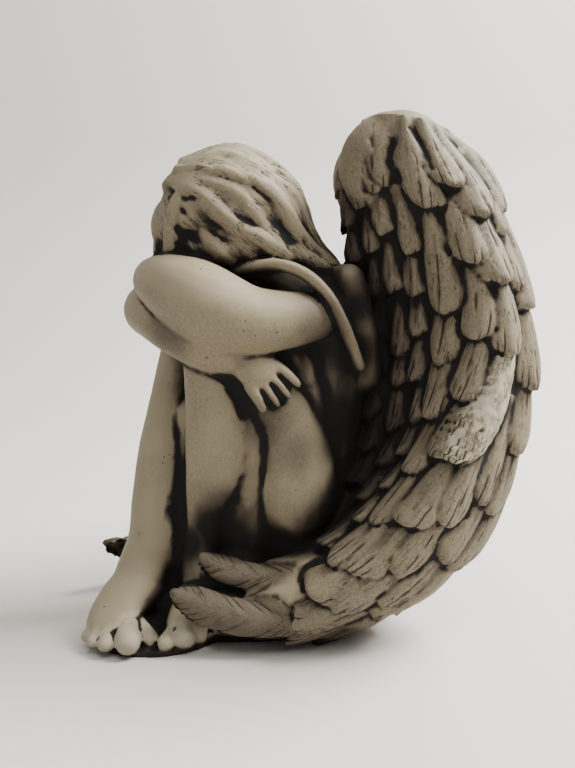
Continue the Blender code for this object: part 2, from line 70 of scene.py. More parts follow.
SKIN_VOXEL = 0.00085
TRIANGLES = 192000

SHARE = HEIGHT / 100  # one hundredth of the height

# Limbs: rows of x, y, z and radius, or x, y, z, half width and half depth, in hundredths of the height
TORSO = [
    (0, 0, 12, 15, 13),
    (0, 1, 24, 13.5, 12),
    (0, 4.5, 38, 11.5, 9),
    (0, 5.5, 52, 12, 8.5),
    (0, 3.5, 62, 12, 7.5),
    (0, -2, 70, 7.5, 5.5),
    (0, -9, 76, 5.5, 5.5),
]
HEAD = [
    (0, -22, 78, 8, 7.5),
    (0, -18.5, 80.5, 10.5, 11.2),
    (0, -14, 81, 11.6, 12.5),
    (0, -8.5, 79, 11, 10.6),
    (0, -2.5, 74, 9, 6.6),
    (0, 3, 70, 7, 3.6),
    (0, 8, 67, 5, 2.2),
]
LEFT_THIGH = [
    (9, -13, 52.5, 5.6),
    (9.5, -7.2, 45, 6.1),
    (10, -4.2, 39.1, 6.6),
    (10.5, -2.8, 34.2, 7.2),
    (10.5, -2.2, 28.2, 7.8),
    (10, -2, 24.8, 7.6),
]
LEFT_CALF = [
    (8, -19.8, 56, 4.4),
    (9, -18.8, 47, 5.1),
    (9, -17.6, 38.6, 6.3),
    (9, -18, 32.7, 6.0),
    (8.5, -19.4, 26, 4.6),
    (8, -20.2, 20, 3.6),
    (9, -21.4, 12, 3.6),
    (10, -21, 6, 4),
]
# The hair that hangs beside the face and spreads over the shoulders
HAIR_SIDES = [
    (0, -24.5, 75, 7, 4),
    (0, -19, 74, 10.5, 4.6),
    (0, -13, 74.5, 11.8, 4.6),
    (0, -7, 74.6, 11.4, 4),
    (0, 0, 72, 9.6, 3),
    (0, 7, 69, 7.5, 2.2),
]
# What fills the space behind the face, under the arms, between the thigh and the calf, and under the knees
FOLDS = [
    [(0, -21, 71, 8, 4), (0, -14, 71, 9.5, 6), (0, -4, 67, 11, 6.5), (0, 3, 64, 11, 6)],
    [(4, -6, 58, 9, 6), (5, -2, 50, 7), (6, 0, 40, 7)],
    [(5, -12.5, 50, 7), (6.5, -11, 38, 7.4), (6, -11, 26, 7), (4, -11, 14, 8)],
    [(0, -20, 40, 5), (1, -21, 28, 5), (2, -21, 16, 6), (3, -20, 6, 8)],
]
# The dress over her shoulders and upper back, on both sides
SHOULDER = [(8.5, 8, 68, 3.2), (9, 9.5, 62, 3.2), (9, 11, 56, 3), (8.5, 12, 49, 3)]
LEFT_FOOT = [(10, -20.5, 5.5, 4.6), (14, -22.8, 5.2, 4.6), (17.6, -24.6, 3.8, 4.3, 3.2)]
RIGHT_THIGH = [(-9, 3, 24, 9), (-9.5, -3, 28, 8), (-9, -9, 36, 7.2), (-7.5, -15, 46, 6.4), (-6, -20, 54, 5.8)]
RIGHT_CALF = [
    (-6, -22.5, 56, 4.6),
    (-5, -25, 44, 5),
    (-3, -26.8, 33, 6),
    (-1, -28.4, 22.5, 6.1),
    (1.5, -29.4, 15.5, 6),
    (5.5, -33, 9.5, 5.3),
]
RIGHT_FOOT = [
    (1, -27.5, 7, 5, 5),
    (5.5, -32.6, 8.2, 5.2, 5.2),
    (10.8, -36.6, 6.4, 5.2, 4.2),
    (15, -38.4, 4.4, 5.2, 3),
    (17.2, -38.2, 3.4, 5, 2.4),
]
LEFT_ARM = [
    (10, 3, 61.5, 4.2),
    (12.8, -2.5, 61, 5.2),
    (14.8, -11, 60.8, 6.3),
    (14.2, -17.5, 62.6, 7.4),
    (11.8, -22, 65, 7.4),
    (8, -26, 67, 6.1),
    (2, -28.4, 67.8, 4.7),
    (-5, -27, 67.3, 4.4),
    (-12, -23.0, 66, 3.8),
]
RIGHT_ARM = [
    (-10, 3, 61, 4.6),
    (-13, -2.5, 60.5, 5.4),
    (-14.6, -11, 60.4, 6.4),
    (-13.5, -20, 61.0, 6.6),
    (-9.5, -27.4, 61.8, 5.8),
    (-3, -29.8, 61.8, 5.2),
    (3, -28.8, 61.2, 5.0),
    (8.5, -24.8, 58.6, 4.9),
    (12.4, -19.6, 56.2, 4.8),
    (14.0, -14, 55.0, 4.6, 3.4),
]

# Hands: wrist, knuckles and the outward side of the back of the hand
LEFT_HAND = ((-12, -22.5, 66), (-17.6, -16.5, 62.0), (-0.8, -0.45, 0.4))
RIGHT_HAND = ((14, -13.8, 55.4), (16.3, -9.3, 50.2), (0.94, -0.1, 0.33))
PALM_WIDTH = 7.6
PALM_DEPTHS = (2.6, 2.2, 1.9)  # half depths at the wrist, the middle and the knuckles
WRIST_HALF_WIDTH = 3.6
KNUCKLE_DEPTH = 0.8  # how far behind the knuckles the fingers are rooted
FINGER_LENGTH = 5.8
FINGER_RADIUS = 1.3
FINGER_BEND = 0.4

# Toes: tip and radius of each, and the point behind them that they grow from
RIGHT_TOES = [
    (19.2, -31.6, 2.6, 1.7),
    (21.4, -35.6, 2.9, 2.4),
    (20.4, -39.6, 2.4, 1.6),
    (18.4, -41.9, 2.2, 1.4),
    (16, -43, 2.4, 1.3),
]
RIGHT_TOES_FROM = (12, -35.5, 4.6)
LEFT_TOES = [
    (21.6, -28.7, 2.5, 1.6),
    (20.8, -25.2, 2.8, 2.2),
    (19.4, -22.3, 2.2, 1.4),
    (17.4, -20.8, 2.0, 1.2),
    (15.4, -20.2, 2.0, 1.1),
]
LEFT_TOES_FROM = (12, -23.5, 4.6)
ANKLE_BONES = [(4, -25.6, 12.6, 3.4)]

# The dress shows as a band round each arm's opening
BAND = [
    (8.5, -15.5, 69),
    (11.3, -9.5, 70.8),
    (13, -5.5, 70.8),
    (14.2, -1.5, 69.2),
    (15, 2, 66),
    (15.4, 5, 61),
    (15, 7, 56.5),
    (13.5, 9, 52),
]
BAND_WIDTH, BAND_THICKNESS = 2.0, 1.1
BAND_TAPER = (0.4, 0.75)  # shares of the width at its first points, where it comes out of the hair

# A wing's guides, each from its top round behind the body and forward to the feather tips.
# Inner, hollow, crest and rim lie across its face, then its back runs from the rim to the spine.
INNER = [
    (5, 11, 98.5), (4, 7, 90), (4, 9, 77.5), (4, 10, 63.5), (4, 9.5, 47.5), (5.5, 8, 33.5),
    (9, 6, 24.5), (13, 1, 17.5), (15.5, -8, 15.5), (15.5, -15.5, 15), (15.5, -21, 15),
]
HOLLOW = [
    (11, 14, 99), (13.5, 13.5, 88.5), (12.5, 17, 75.5), (11.5, 19.5, 62), (11.5, 19.5, 48.5),
    (13.5, 17.5, 36), (17.5, 10, 25.5), (21, 2, 18.5), (22, -5.5, 14), (20, -14, 12), (17.5, -22, 12.5),
]
CREST = [
    (14, 21, 97.5), (19, 26, 84.5), (23, 29, 73), (26, 30.5, 61.5), (28, 28, 49), (29.5, 23, 38),
    (30.5, 16.5, 27), (30, 8, 17.5), (27.5, -3, 11), (23, -15, 8.5), (19, -24, 9.5),
]
RIM = [
    (11, 25.5, 96.5), (14, 31.5, 88.5), (17, 35.5, 76), (20, 38, 62.5), (22, 38, 48), (24, 34.5, 34.5),
    (26, 27.5, 22.5), (27, 17, 13), (26, 2, 7), (23, -12, 5), (19, -23, 7),
]
SPINE = [
    (2, 17, 95), (-1, 17, 87), (-1, 18, 75.5), (-1, 19, 62), (-1, 20, 48), (-1, 20.5, 32),
    (-1, 16, 15), (2, 8, 5), (7, -2, 3), (10, -12, 3), (12, -20, 4.5),
]
BACK_BULGE = 4.5  # how far the back of a wing swells between its rim and the spine
WING_TOP = ((7.5, 17.5, 89.5), (6.5, 11.5, 10.5))
CORE_END = 0.9  # share of the guides' length that the wing's core fills; free feathers lie beyond it
CROWN = 0.2  # how far a feather's face swells from its edges to its middle, as a share of its width

# Feathers on a wing's face, in lanes from the body out:
# place across, width, length and the places of their tips down the wing
FACE_LANES = [
    (0.03, 4.4, 9, (0.14, 0.195, 0.25, 0.31, 0.37, 0.43, 0.49, 0.55)),
    (0.14, 4.8, 10, (0.165, 0.225, 0.285, 0.345, 0.40, 0.455, 0.51, 0.57)),
    (0.27, 5.6, 12, (0.135, 0.195, 0.275, 0.365, 0.41, 0.48, 0.54, 0.60, 0.71)),
    (0.39, 6, 12, (0.215, 0.275, 0.335, 0.40, 0.465, 0.52, 0.575, 0.64)),
    (0.50, 12, 21, (0.14, 0.295, 0.37, 0.455, 0.545, 0.635, 0.73)),
    (0.62, 11, 17, (0.10, 0.215, 0.33, 0.42, 0.515, 0.62, 0.72, 0.79)),
    (0.77, 10, 20, (0.15, 0.25, 0.35, 0.60, 0.69, 0.78)),
    (0.92, 10, 20, (0.19, 0.27, 0.56, 0.65, 0.74, 0.84)),
    (1.02, 9.5, 24, (0.17, 0.30, 0.40, 0.485, 0.57, 0.66, 0.76)),
]
# One long feather lies over the others: place across at its tip, width, length, place of the tip, lift, turn
OVER_FEATHER = (0.67, 8.5, 40, 0.515, 3.8, -0.24)
BACK_LANES = [
    (0.14, 10, 20, (0.20, 0.29, 0.38, 0.47, 0.56, 0.65, 0.75, 0.86)),
    (0.36, 10, 19, (0.17, 0.25, 0.335, 0.425, 0.515, 0.61, 0.71, 0.82)),
    (0.58, 9, 17, (0.15, 0.22, 0.30, 0.38, 0.47, 0.56, 0.66, 0.77)),
    (0.80, 8, 15, (0.14, 0.20, 0.27, 0.345, 0.43, 0.52, 0.62, 0.72)),
]
# The last feathers leave the wing and lie on the ground: centre line from root to tip, width, facing
LOW_FEATHER = (
    [(24.5, 11, 12.5), (26.5, 0, 8), (25.5, -11, 7.2), (23, -20, 8.8), (19.5, -27, 11.3)],
    7.4,
    (0.9, -0.1, 0.4),
)
INNER_FEATHER = (
    [(24.5, 9, 16), (22.5, 0, 13), (20, -8, 12.6), (17.6, -15.5, 13.8), (15.4, -22, 16)],
    6.4,
    (0.75, 0, 0.65),
)
LOW_RIDGE = [(19, 8, 8, 6), (18.5, -3, 6.5, 5.5), (17, -12, 6, 5), (14.5, -21, 5, 4)]  # what they lie on
# The right wing's low feather reaches further forward, beside her shin
LONG_FEATHER = (
    [(24.5, 11, 12.5), (26.5, -4, 8.6), (24.5, -17, 8.2), (19.5, -29, 8.8), (13, -42, 11.2)],
    7.6,
    (0.9, -0.3, 0.4),
)
LONG_RIDGE = [(19, 8, 8, 6), (19.5, -6, 6.5, 5.5), (18, -18, 6, 5), (14, -30, 6, 4.4)]
RIGHT_WING_SHIFT = (0, 2, -1.6)  # the right wing sits a little further back
FEATHER_SEED = 7
FEATHER_ALONG, FEATHER_ACROSS = 22, 12  # faces along and across a feather, more than in the solid

# Hair flows back and down along an axis through the head; locks lie on the head at even turns about it
HAIR_ORIGIN = (0, -14, 77)
HAIR_AXIS = (0, 0.80, -0.60)
LOCK_COUNT = 14
LOCK_SPREAD = 118  # degrees to each side of the top
LOCK_START, LOCK_END = -15, 25  # along the axis
LOCK_RADIUS = 1.8
LOCK_SINK = 0.55  # how deep a lock's middle lies in the head, as a share of its radius
FRINGE = [(-21, 88.5), (-24.8, 84.5), (-27, 79), (-27.4, 73)]  # y and z of the locks over the forehead
FRINGE_PLACES = (-6, -2, 2, 6)

# The ground: centre, reach and height of each low mound
GROUND = [
    ((0, -12), (18.5, 27), 4.4),
    ((13, -30), (9.5, 12), 2.4),
    ((3, -20), (13, 13), 9),
    ((11, -13.5), (6.5, 8.5), 16),
    ((0, 2), (15, 12), 12),
]


def smooth_curve(rows, count):
    """count samples of a Catmull-Rom curve through rows of numbers."""
    given = np.array(rows, float)
    held = np.vstack([2 * given[0] - given[1], given, 2 * given[-1] - given[-2]])
    place = np.linspace(0, len(given) - 1, count)
    start = np.minimum(place.astype(int), len(given) - 2)
    f = (place - start)[:, None]
    a, b, c, d = (held[start + k] for k in range(4))
    return 0.5 * (2 * b + (c - a) * f + (2 * a - 5 * b + 4 * c - d) * f**2 + (3 * b - a - 3 * c + d) * f**3)


def unit(vectors):
    vectors = np.asarray(vectors, float)
    return vectors / np.linalg.norm(vectors, axis=-1, keepdims=True)


def lofted(rings):
    """A closed solid through rings of points, each end closed on its middle."""
    rings = np.asarray(rings, float)
    count, sides = rings.shape[:2]
    points = np.vstack([rings.reshape(-1, 3), rings[0].mean(0), rings[-1].mean(0)])
    first, last = count * sides, count * sides + 1
    faces = []
    for i in range(count - 1):
        for j in range(sides):
            k = (j + 1) % sides
            faces.append((i * sides + j, i * sides + k, (i + 1) * sides + k, (i + 1) * sides + j))
    for j in range(sides):
        k = (j + 1) % sides
        faces.append((first, k, j))
        faces.append((last, (count - 1) * sides + j, (count - 1) * sides + k))
    return points, faces


def limb(rows, side=(1, 0, 0), sides=18, steps=5):
    """A rounded solid along a smooth curve. Rows are x, y, z, half width along side, and half depth."""
    rows = [r if len(r) == 5 else (*r, r[3]) for r in rows]
    line = smooth_curve(rows, (len(rows) - 1) * steps + 1)
    centre, width, depth = line[:, :3], line[:, 3], line[:, 4]
    along = unit(np.gradient(centre, axis=0))
    across = np.array(side, float) - along * (along @ np.array(side, float))[:, None]
    across = unit(across)
    up = np.cross(along, across)
    caps = np.linspace(0, math.pi / 2, 5)[1:-1]
    stations = [(0, -math.sin(a), math.cos(a)) for a in caps[::-1]]
    stations += [(i, 0, 1) for i in range(len(line))]
    stations += [(-1, math.sin(a), math.cos(a)) for a in caps]
    turn = np.linspace(0, 2 * math.pi, sides, endpoint=False)
    rings = []
    for i, push, shrink in stations:
        reach = min(width[i], depth[i]) * push
        ring = np.outer(np.cos(turn), across[i]) * width[i] + np.outer(np.sin(turn), up[i]) * depth[i]
        rings.append(centre[i] + along[i] * reach + ring * shrink)
    return lofted(rings)


def ball(centre, radii, pitch=0.0, rings=14, sides=20):
    """An ellipsoid, pitched about X by some degrees."""
    turn = Matrix.Rotation(math.radians(pitch), 3, "X")
    angles = np.linspace(0, math.pi, rings + 1)[1:-1]
    around = np.linspace(0, 2 * math.pi, sides, endpoint=False)
    shape = []
    for a in angles:
        flat = np.stack([np.cos(around), np.sin(around), np.zeros(sides)], 1) * np.sin(a)
        ring = (flat - (0, 0, np.cos(a))) * np.array(radii)
        shape.append(ring @ np.array(turn).T + np.array(centre))
    return lofted(shape)


def mirrored(solid, shift=(0, 0, 0)):
    points, faces = solid
    return points * np.array([-1, 1, 1]) + np.array(shift), [tuple(reversed(f)) for f in faces]


def slab(top, bottom):
    """A closed solid between two grids of points, top and bottom, of the same size."""
    rows, columns = top.shape[:2]
    points = np.vstack([top.reshape(-1, 3), bottom.reshape(-1, 3)])
    under = rows * columns
    faces = []
    for i in range(rows - 1):
        for j in range(columns - 1):
            a, b = i * columns + j, (i + 1) * columns + j
            faces.append((a, b, b + 1, a + 1))
            faces.append((under + a, under + a + 1, under + b + 1, under + b))
    rim = [j for j in range(columns)]
    rim += [i * columns + columns - 1 for i in range(1, rows)]
    rim += [(rows - 1) * columns + j for j in range(columns - 2, -1, -1)]
    rim += [i * columns for i in range(rows - 2, 0, -1)]
    for a, b in zip(rim, rim[1:] + rim[:1]):
        faces.append((a, b, under + b, under + a))
    return points, faces


class Sheet:
    """A curved surface through guides: down runs along them, out runs across from the first to the last."""

    samples = 121

    def __init__(self, guides):
        self.down = np.linspace(0, 1, self.samples)
        along = np.stack([smooth_curve(g, self.samples) for g in guides], 1)
        self.grid = np.stack([smooth_curve(row, self.samples) for row in along])

    def point(self, down, out):
        """The surface at any place. Past an end or an edge it runs straight on."""
        down, out = np.broadcast_arrays(np.asarray(down, float), np.asarray(out, float))
        last = self.samples - 1
        d, o = down * last, out * last
        i = np.clip(d.astype(int), 0, last - 1)
        j = np.clip(o.astype(int), 0, last - 1)
        fd, fo = (d - i)[..., None], (o - j)[..., None]
        here = self.grid[i, j]
        return here + (self.grid[i + 1, j] - here) * fd + (self.grid[i, j + 1] - here) * fo

    def frame(self, down, out):
        """Point, steps for each unit of down and out, and normal."""
        down, out = np.asarray(down, float), np.asarray(out, float)
        small = 0.012
        d = (self.point(down + small, out) - self.point(down - small, out)) / (2 * small)
        o = (self.point(down, out + small) - self.point(down, out - small)) / (2 * small)
        return self.point(down, out), d, o, unit(np.cross(d, o))

    def feather(self, tip, out, length, width, lift=FEATHER_LIFT / SHARE, turn=0.0):
        """One feather that ends at tip and out: its root lies in the surface and its tip stands off it.

        turn is how much further in its root lies."""
        _, d, o, _ = self.frame(tip - 0.02, out)
        root = max(tip - length / np.linalg.norm(d), 0)
        half = width / 2 / np.linalg.norm(o)
        u = np.linspace(0, 1, FEATHER_ALONG + 1)
        v = np.linspace(-1, 1, FEATHER_ACROSS + 1)
        shape = 0.55 + 0.45 * np.sin(np.clip(u / 0.75, 0, 1) * math.pi / 2)
        shape *= np.sqrt(np.clip(1 - np.clip((u - 0.72) / 0.29, 0, 1) ** 2.4, 0.01, 1))
        uu, vv = np.meshgrid(u, v, indexing="ij")
        aside = out - turn * (1 - uu) + half * shape[:, None] * vv
        p, _, _, normal = self.frame(root + (tip - root) * uu, aside)
        thick = FEATHER_THICKNESS / SHARE
        height = lift * (uu**1.6 - 0.25) + CROWN * width * (0.5 - vv**2)
        return slab(p + normal * height[..., None], p + normal * (height - thick)[..., None])


def free_feather(line, width, facing):
    """A feather along a line of its own, with its face towards facing."""
    centre = smooth_curve(line, 9)
    side = unit(np.cross(facing, unit(np.gradient(centre, axis=0)))) * width / 2
    length = np.linalg.norm(np.diff(centre, axis=0), axis=1).sum()
    return Sheet([centre - side, centre, centre + side]).feather(1, 0.5, length, width)


def wing_solids(ridge, free_feathers):
    """A left wing: a core between its face and its back, the feathers on both, and those that lie free.

    The first three solids are the core, the round top and the ridge under the free feathers."""
    face = Sheet([INNER, HOLLOW, CREST, RIM])
    rim, spine = np.array(RIM, float), np.array(SPINE, float)
    across = unit(spine - rim)
    along = unit(np.gradient(rim, axis=0))
    outward = unit(np.cross(along, across))
    back = Sheet([rim, (rim + spine) / 2 + outward * BACK_BULGE, spine])
    down, out = np.meshgrid(np.linspace(0, CORE_END, 56), np.linspace(0, 1, 21), indexing="ij")
    made = [slab(face.point(down, out), back.point(down, 1 - out)), ball(*WING_TOP, pitch=8), limb(ridge)]
    chance = random.Random(FEATHER_SEED)
    for sheet, lanes in ((face, FACE_LANES), (back, BACK_LANES)):
        for out, width, length, tips in lanes:
            for tip in tips:
                aside = out + chance.uniform(-0.02, 0.02)
                wide = width * chance.uniform(0.92, 1.12)
                made.append(sheet.feather(tip, aside, length * chance.uniform(0.92, 1.08), wide))
    out, width, length, tip, lift, turn = OVER_FEATHER
    made.append(face.feather(tip, out, length, width, lift, turn))
    return made + [free_feather(*feather) for feather in free_feathers]


def hand(wrist, knuckles, outward, side=1):
    """The palm, and the four fingers that bend in over what the hand lies on."""
    wrist, knuckles = np.array(wrist, float), np.array(knuckles, float)
    along = unit(knuckles - wrist)
    outward = unit(np.array(outward, float) - along * np.dot(along, outward))
    across = np.cross(along, outward) * side
    middle = (wrist + knuckles) / 2
    half_widths = (WRIST_HALF_WIDTH, PALM_WIDTH * 0.52, PALM_WIDTH / 2)
    places = (wrist, middle, knuckles)
    palm = limb([(*p, w, d) for p, w, d in zip(places, half_widths, PALM_DEPTHS)], side=across)
    fingers = []
    for k in range(4):
        start = knuckles + across * (k - 1.5) / 4 * PALM_WIDTH - along * KNUCKLE_DEPTH
        spread = along + across * 0.12 * (k - 1.5)
        bend = unit(spread * 0.8 - outward * FINGER_BEND)
        reach = FINGER_LENGTH * (0.92, 1.0, 0.97, 0.8)[k]
        joint = start + spread * reach * 0.5
        tip = joint + bend * reach * 0.5
        rows = [(*start, FINGER_RADIUS * 1.1), (*joint, FINGER_RADIUS), (*tip, FINGER_RADIUS * 0.85)]
        fingers.append(limb(rows, side=across, sides=10, steps=3))
    return palm, fingers


def toes(rows, start):
    """Toes that fan out from a point inside the foot. Rows are x, y, z and radius of each tip."""
    start = np.array(start, float)
    made = []
    for *tip, radius in rows:
        root = start + (np.array(tip) - start) * 0.3
        made.append(limb([(*root, radius * 1.05), (*tip, radius)], side=(0, 0, 1), sides=10, steps=3))
    return made


def ground():
    """The low ground under the figure. It reaches below Z = 0, where it is cut flat."""
    return [ball((*centre, 0), (*reach, height)) for centre, reach, height in GROUND]


def body_parts():
    """Torso, head, limbs, palms and ground, before they are melted together."""
    upright = (TORSO, HEAD, HAIR_SIDES, LEFT_THIGH, LEFT_CALF, RIGHT_THIGH, RIGHT_CALF, *FOLDS)
    made = [limb(rows) for rows in upright]
    made += [limb(SHOULDER), mirrored(limb(SHOULDER))]
    made += [limb(LEFT_FOOT, side=(0.5, 0.85, 0)), limb(RIGHT_FOOT, side=(0.5, 0.85, 0))]
    made += [limb(LEFT_ARM, side=(0, 0, 1)), limb(RIGHT_ARM, side=(0, 0, 1))]
    made += [hand(*LEFT_HAND, -1)[0], hand(*RIGHT_HAND)[0]]
    made += [ball(centre, (size, size, size)) for *centre, size in ANKLE_BONES]
    return made + ground()


def fingers_and_toes():
    made = hand(*LEFT_HAND, -1)[1] + hand(*RIGHT_HAND)[1]
    return made + toes(LEFT_TOES, LEFT_TOES_FROM) + toes(RIGHT_TOES, RIGHT_TOES_FROM)


def hair_frame():
    """The hair's origin, its axis, and the upward direction across it."""
    axis = unit(HAIR_AXIS)
    return np.array(HAIR_ORIGIN, float), axis, np.cross((1, 0, 0), axis)


def hair_locks():
    """Raised locks on the head's surface, and the fringe that falls over the forehead."""
    heads = [BVHTree.FromPolygons(*[list(map(tuple, p)) for p in limb(rows)]) for rows in (HEAD, HAIR_SIDES)]
    origin, axis, up = hair_frame()
    far = 40
    made = []
    for k in range(LOCK_COUNT):
        turn = math.radians(LOCK_SPREAD) * (-1 + 2 * k / (LOCK_COUNT - 1))
        rows = []
        for place in np.linspace(LOCK_START, LOCK_END, 9):
            wave = turn + 0.07 * math.sin(place * 0.35 + k * 1.9)
            out = np.array([math.sin(wave), 0, 0]) + up * math.cos(wave)
            start = origin + axis * place + out * far
            depths = [head.ray_cast(Vector(start), Vector(-out))[3] for head in heads]
            depths = [depth for depth in depths if depth is not None]
            if not depths:
                continue
            share = 0.5 + 0.5 * math.sin(math.pi * (place - LOCK_START) / (LOCK_END - LOCK_START))
            sunk = start - out * (min(depths) + LOCK_SINK * LOCK_RADIUS)
            rows.append((*sunk, LOCK_RADIUS * share * (0.9 + 0.3 * (k % 2))))
        if len(rows) > 2:
            made.append(limb(rows, sides=10, steps=3))
    for x in FRINGE_PLACES:
        made.append(limb([(x, y + 0.05 * x * x, z, LOCK_RADIUS) for y, z in FRINGE], sides=10, steps=3))
    return made


def dress_band():
    """The band round each arm's opening."""
    shares = BAND_TAPER + (1,) * (len(BAND) - len(BAND_TAPER))
    rows = [(*p, BAND_WIDTH * share, BAND_THICKNESS) for p, share in zip(BAND, shares)]
    left = limb(rows, side=(1, 0, 0.3), sides=12)
    return [left, mirrored(left)]


# Meshes


def joined(solids):
    """The points and the faces of several solids as one."""
    points, faces, start = [], [], 0
    for some, quads in solids:
        points.append(np.asarray(some))
        faces += [tuple(i + start for i in f) for f in quads]
        start += len(some)
    return np.vstack(points), faces


def tree_of(solids):
    points, faces = joined(solids)
    return BVHTree.FromPolygons(points.tolist(), faces)


def point_tree(points):
    tree = KDTree(len(points))
    for i, p in enumerate(points):
        tree.insert(p, i)
    tree.balance()
    return tree


def object_of(name, mesh):
    obj = bpy.data.objects.new(name, mesh)
    bpy.context.scene.collection.objects.link(obj)
    return obj


def applied(obj):
    """The object's mesh with its modifiers, as a mesh of its own. The object is removed."""
    bpy.context.view_layer.update()
    mesh = bpy.data.meshes.new_from_object(obj.evaluated_get(bpy.context.evaluated_depsgraph_get()))
    bpy.data.objects.remove(obj)
    return mesh


def melted(name, solids, voxel, rounds):
    """One mesh of the solids' joint skin, softened by some rounds of smoothing."""
    points, faces = joined(solids)
    mesh = bpy.data.meshes.new(name)
    mesh.from_pydata((points * SHARE).tolist(), [], faces)
    obj = object_of(name, mesh)
    remesh = obj.modifiers.new("Melt", "REMESH")
    remesh.mode = "VOXEL"
    remesh.voxel_size = voxel
    smooth = obj.modifiers.new("Soften", "SMOOTH")
    smooth.factor = 0.5
    smooth.iterations = rounds
    return applied(obj)


def thinned(mesh, triangles):
    """The mesh with no more than so many triangles."""
    mesh.calc_loop_triangles()
    obj = object_of(mesh.name, mesh)
    thin = obj.modifiers.new("Facets", "DECIMATE")
    thin.ratio = min(1, triangles / len(mesh.loop_triangles))
    return applied(obj)


def read(collection, name, size, kind=np.float32):
    """One row of numbers for each vertex or edge."""
    values = np.empty(len(collection) * size, kind)
    collection.foreach_get(name, values)
    return values.reshape(-1, size)


def coordinates(mesh):
    return read(mesh.vertices, "co", 3).astype(float)


def set_coordinates(mesh, points):
    mesh.vertices.foreach_set("co", points.astype(np.float32).ravel())
    mesh.update()


def normals(mesh):
    return read(mesh.vertex_normals, "vector", 3).astype(float)


def edges(mesh):
    return read(mesh.edges, "vertices", 2, np.int32)


def store(mesh, name, *columns):
    """Three numbers on each vertex, for the material."""
    values = np.stack(columns, 1).astype(np.float32)
    mesh.attributes.new(name, "FLOAT_VECTOR", "POINT").data.foreach_set("vector", values.ravel())


def largest_shell(mesh):
    """The mesh without the small bubbles that melting can leave inside."""
    label = np.arange(len(mesh.vertices))
    a, b = edges(mesh).T
    while True:
        before = label.copy()
        low = np.minimum(label[a], label[b])
        np.minimum.at(label, a, low)
        np.minimum.at(label, b, low)
        label = label[label]
        if (label == before).all():
            break
    names, sizes = np.unique(label, return_counts=True)
    kept = label == names[np.argmax(sizes)]
    place = np.cumsum(kept) - 1
    faces = [tuple(int(place[i]) for i in p.vertices) for p in mesh.polygons if kept[p.vertices[0]]]
    clean = bpy.data.meshes.new(mesh.name)
    clean.from_pydata(coordinates(mesh)[kept].tolist(), [], faces)
    return clean


def cut_flat(mesh):
    """Cuts the mesh at Z = 0 and closes the cut."""
    work = bmesh.new()
    work.from_mesh(mesh)
    everything = work.verts[:] + work.edges[:] + work.faces[:]
    bmesh.ops.bisect_plane(work, geom=everything, plane_co=(0, 0, 0), plane_no=(0, 0, -1), clear_outer=True)
    rim = [e for e in work.edges if e.is_boundary]
    bmesh.ops.triangle_fill(work, edges=rim, use_beauty=True, normal=(0, 0, -1))
    bmesh.ops.recalc_face_normals(work, faces=work.faces[:])
    work.to_mesh(mesh)
    work.free()


class Smoother:
    """Averages values over each vertex's neighbours."""

    def __init__(self, mesh):
        self.a, self.b = edges(mesh).T
        self.count = len(mesh.vertices)
        self.degree = np.maximum(np.bincount(np.concatenate([self.a, self.b]), minlength=self.count), 1)

    def once(self, column):
        there = np.bincount(self.a, column[self.b], self.count)
        return (there + np.bincount(self.b, column[self.a], self.count)) / self.degree

    def run(self, column, rounds, share=0.7):
        for _ in range(rounds):
            column = column * (1 - share) + self.once(column) * share
        return column


# Noise, steps and grooves


def lattice(i):
    """A repeatable number from 0 to 1 at each whole-number place."""
    i = i.astype(np.int64)
    n = i[:, 0] * 374761393 + i[:, 1] * 668265263 + i[:, 2] * 2147483647
    n = (n ^ (n >> 13)) * 1274126177
    n = n ^ (n >> 16)
    return (n & 0xFFFF) / 0xFFFF


def noise(*axes):
    """Smooth noise from -1 to 1, with features about one unit wide."""
    points = np.stack(np.broadcast_arrays(*axes), 1).astype(float)
    base = np.floor(points)
    f = points - base
    f = f * f * (3 - 2 * f)
    total = 0
    for corner in np.ndindex(2, 2, 2):
        weight = np.abs(1 - np.array(corner) - f).prod(1)
        total = total + weight * lattice(base + corner)
    return 2 * total - 1


def step(low, high, x):
    t = np.clip((x - low) / (high - low), 0, 1)
    return t * t * (3 - 2 * t)


def groove(x, half_width):
    return np.exp(-((x / half_width) ** 2))


# Carving

MILLIMETRES = 2  # a hundredth of the height, in millimetres
SPLIT_SPACING = 2.7  # between the places of the splits at a feather's tip
CUT_SPACING = 3.8  # between the cuts of a feather that lies free
CUT_SLANT = 1.25
CUT_HALF_WIDTH = 0.6
CUT_SHARE = 0.6  # how many of the places take a split or a cut
CUT_DEPTH, FREE_CUT_EXTRA = 0.8, 0.4
FIRST_SPLIT = 0.6  # how far along a feather its longest split starts, as a share of its length
PLUMP = 1.1  # how far a feather swells between its edges
FLUTES = [(0.2, 0.5, 0.05, 3.7), (0.22, 1.1, 0.07, 1.9)]  # depth, and noise across, along and by feather
SHAFT_DEPTH, FREE_SHAFT_HEIGHT = 0.3, 0.25
PIT_DEPTH = 0.5  # of the rough feather
FEATHER_REACH = 4.0  # how near to a feather's face its carving reaches
GRIT = [(0.06, 1.3), (0.07, 4)]  # depth and size
RELIEF_SMOOTHING = 2  # rounds
SIDE_NUMBER = 200  # added to a feather's number on one side of its shaft

# Short grooves down the outer side of a wing's round top, as y and z along each, in hundredths of the height
DOME_LOW = 80
DOME_GROOVE_WIDTH = 0.42
DOME_GROOVE_DEPTH = 1.1
DOME_GROOVES = [
    [(7, 94.5), (6.3, 90.2), (5.4, 85.7)],
    [(11.2, 94.2), (11.4, 92.6)],
    [(14.9, 93.7), (14.4, 90.3), (15.8, 86.3)],
    [(9.9, 90.1), (11.1, 86.8), (13.4, 84.7)],
    [(17.8, 95.9), (20.1, 92), (21, 88.4)],
]

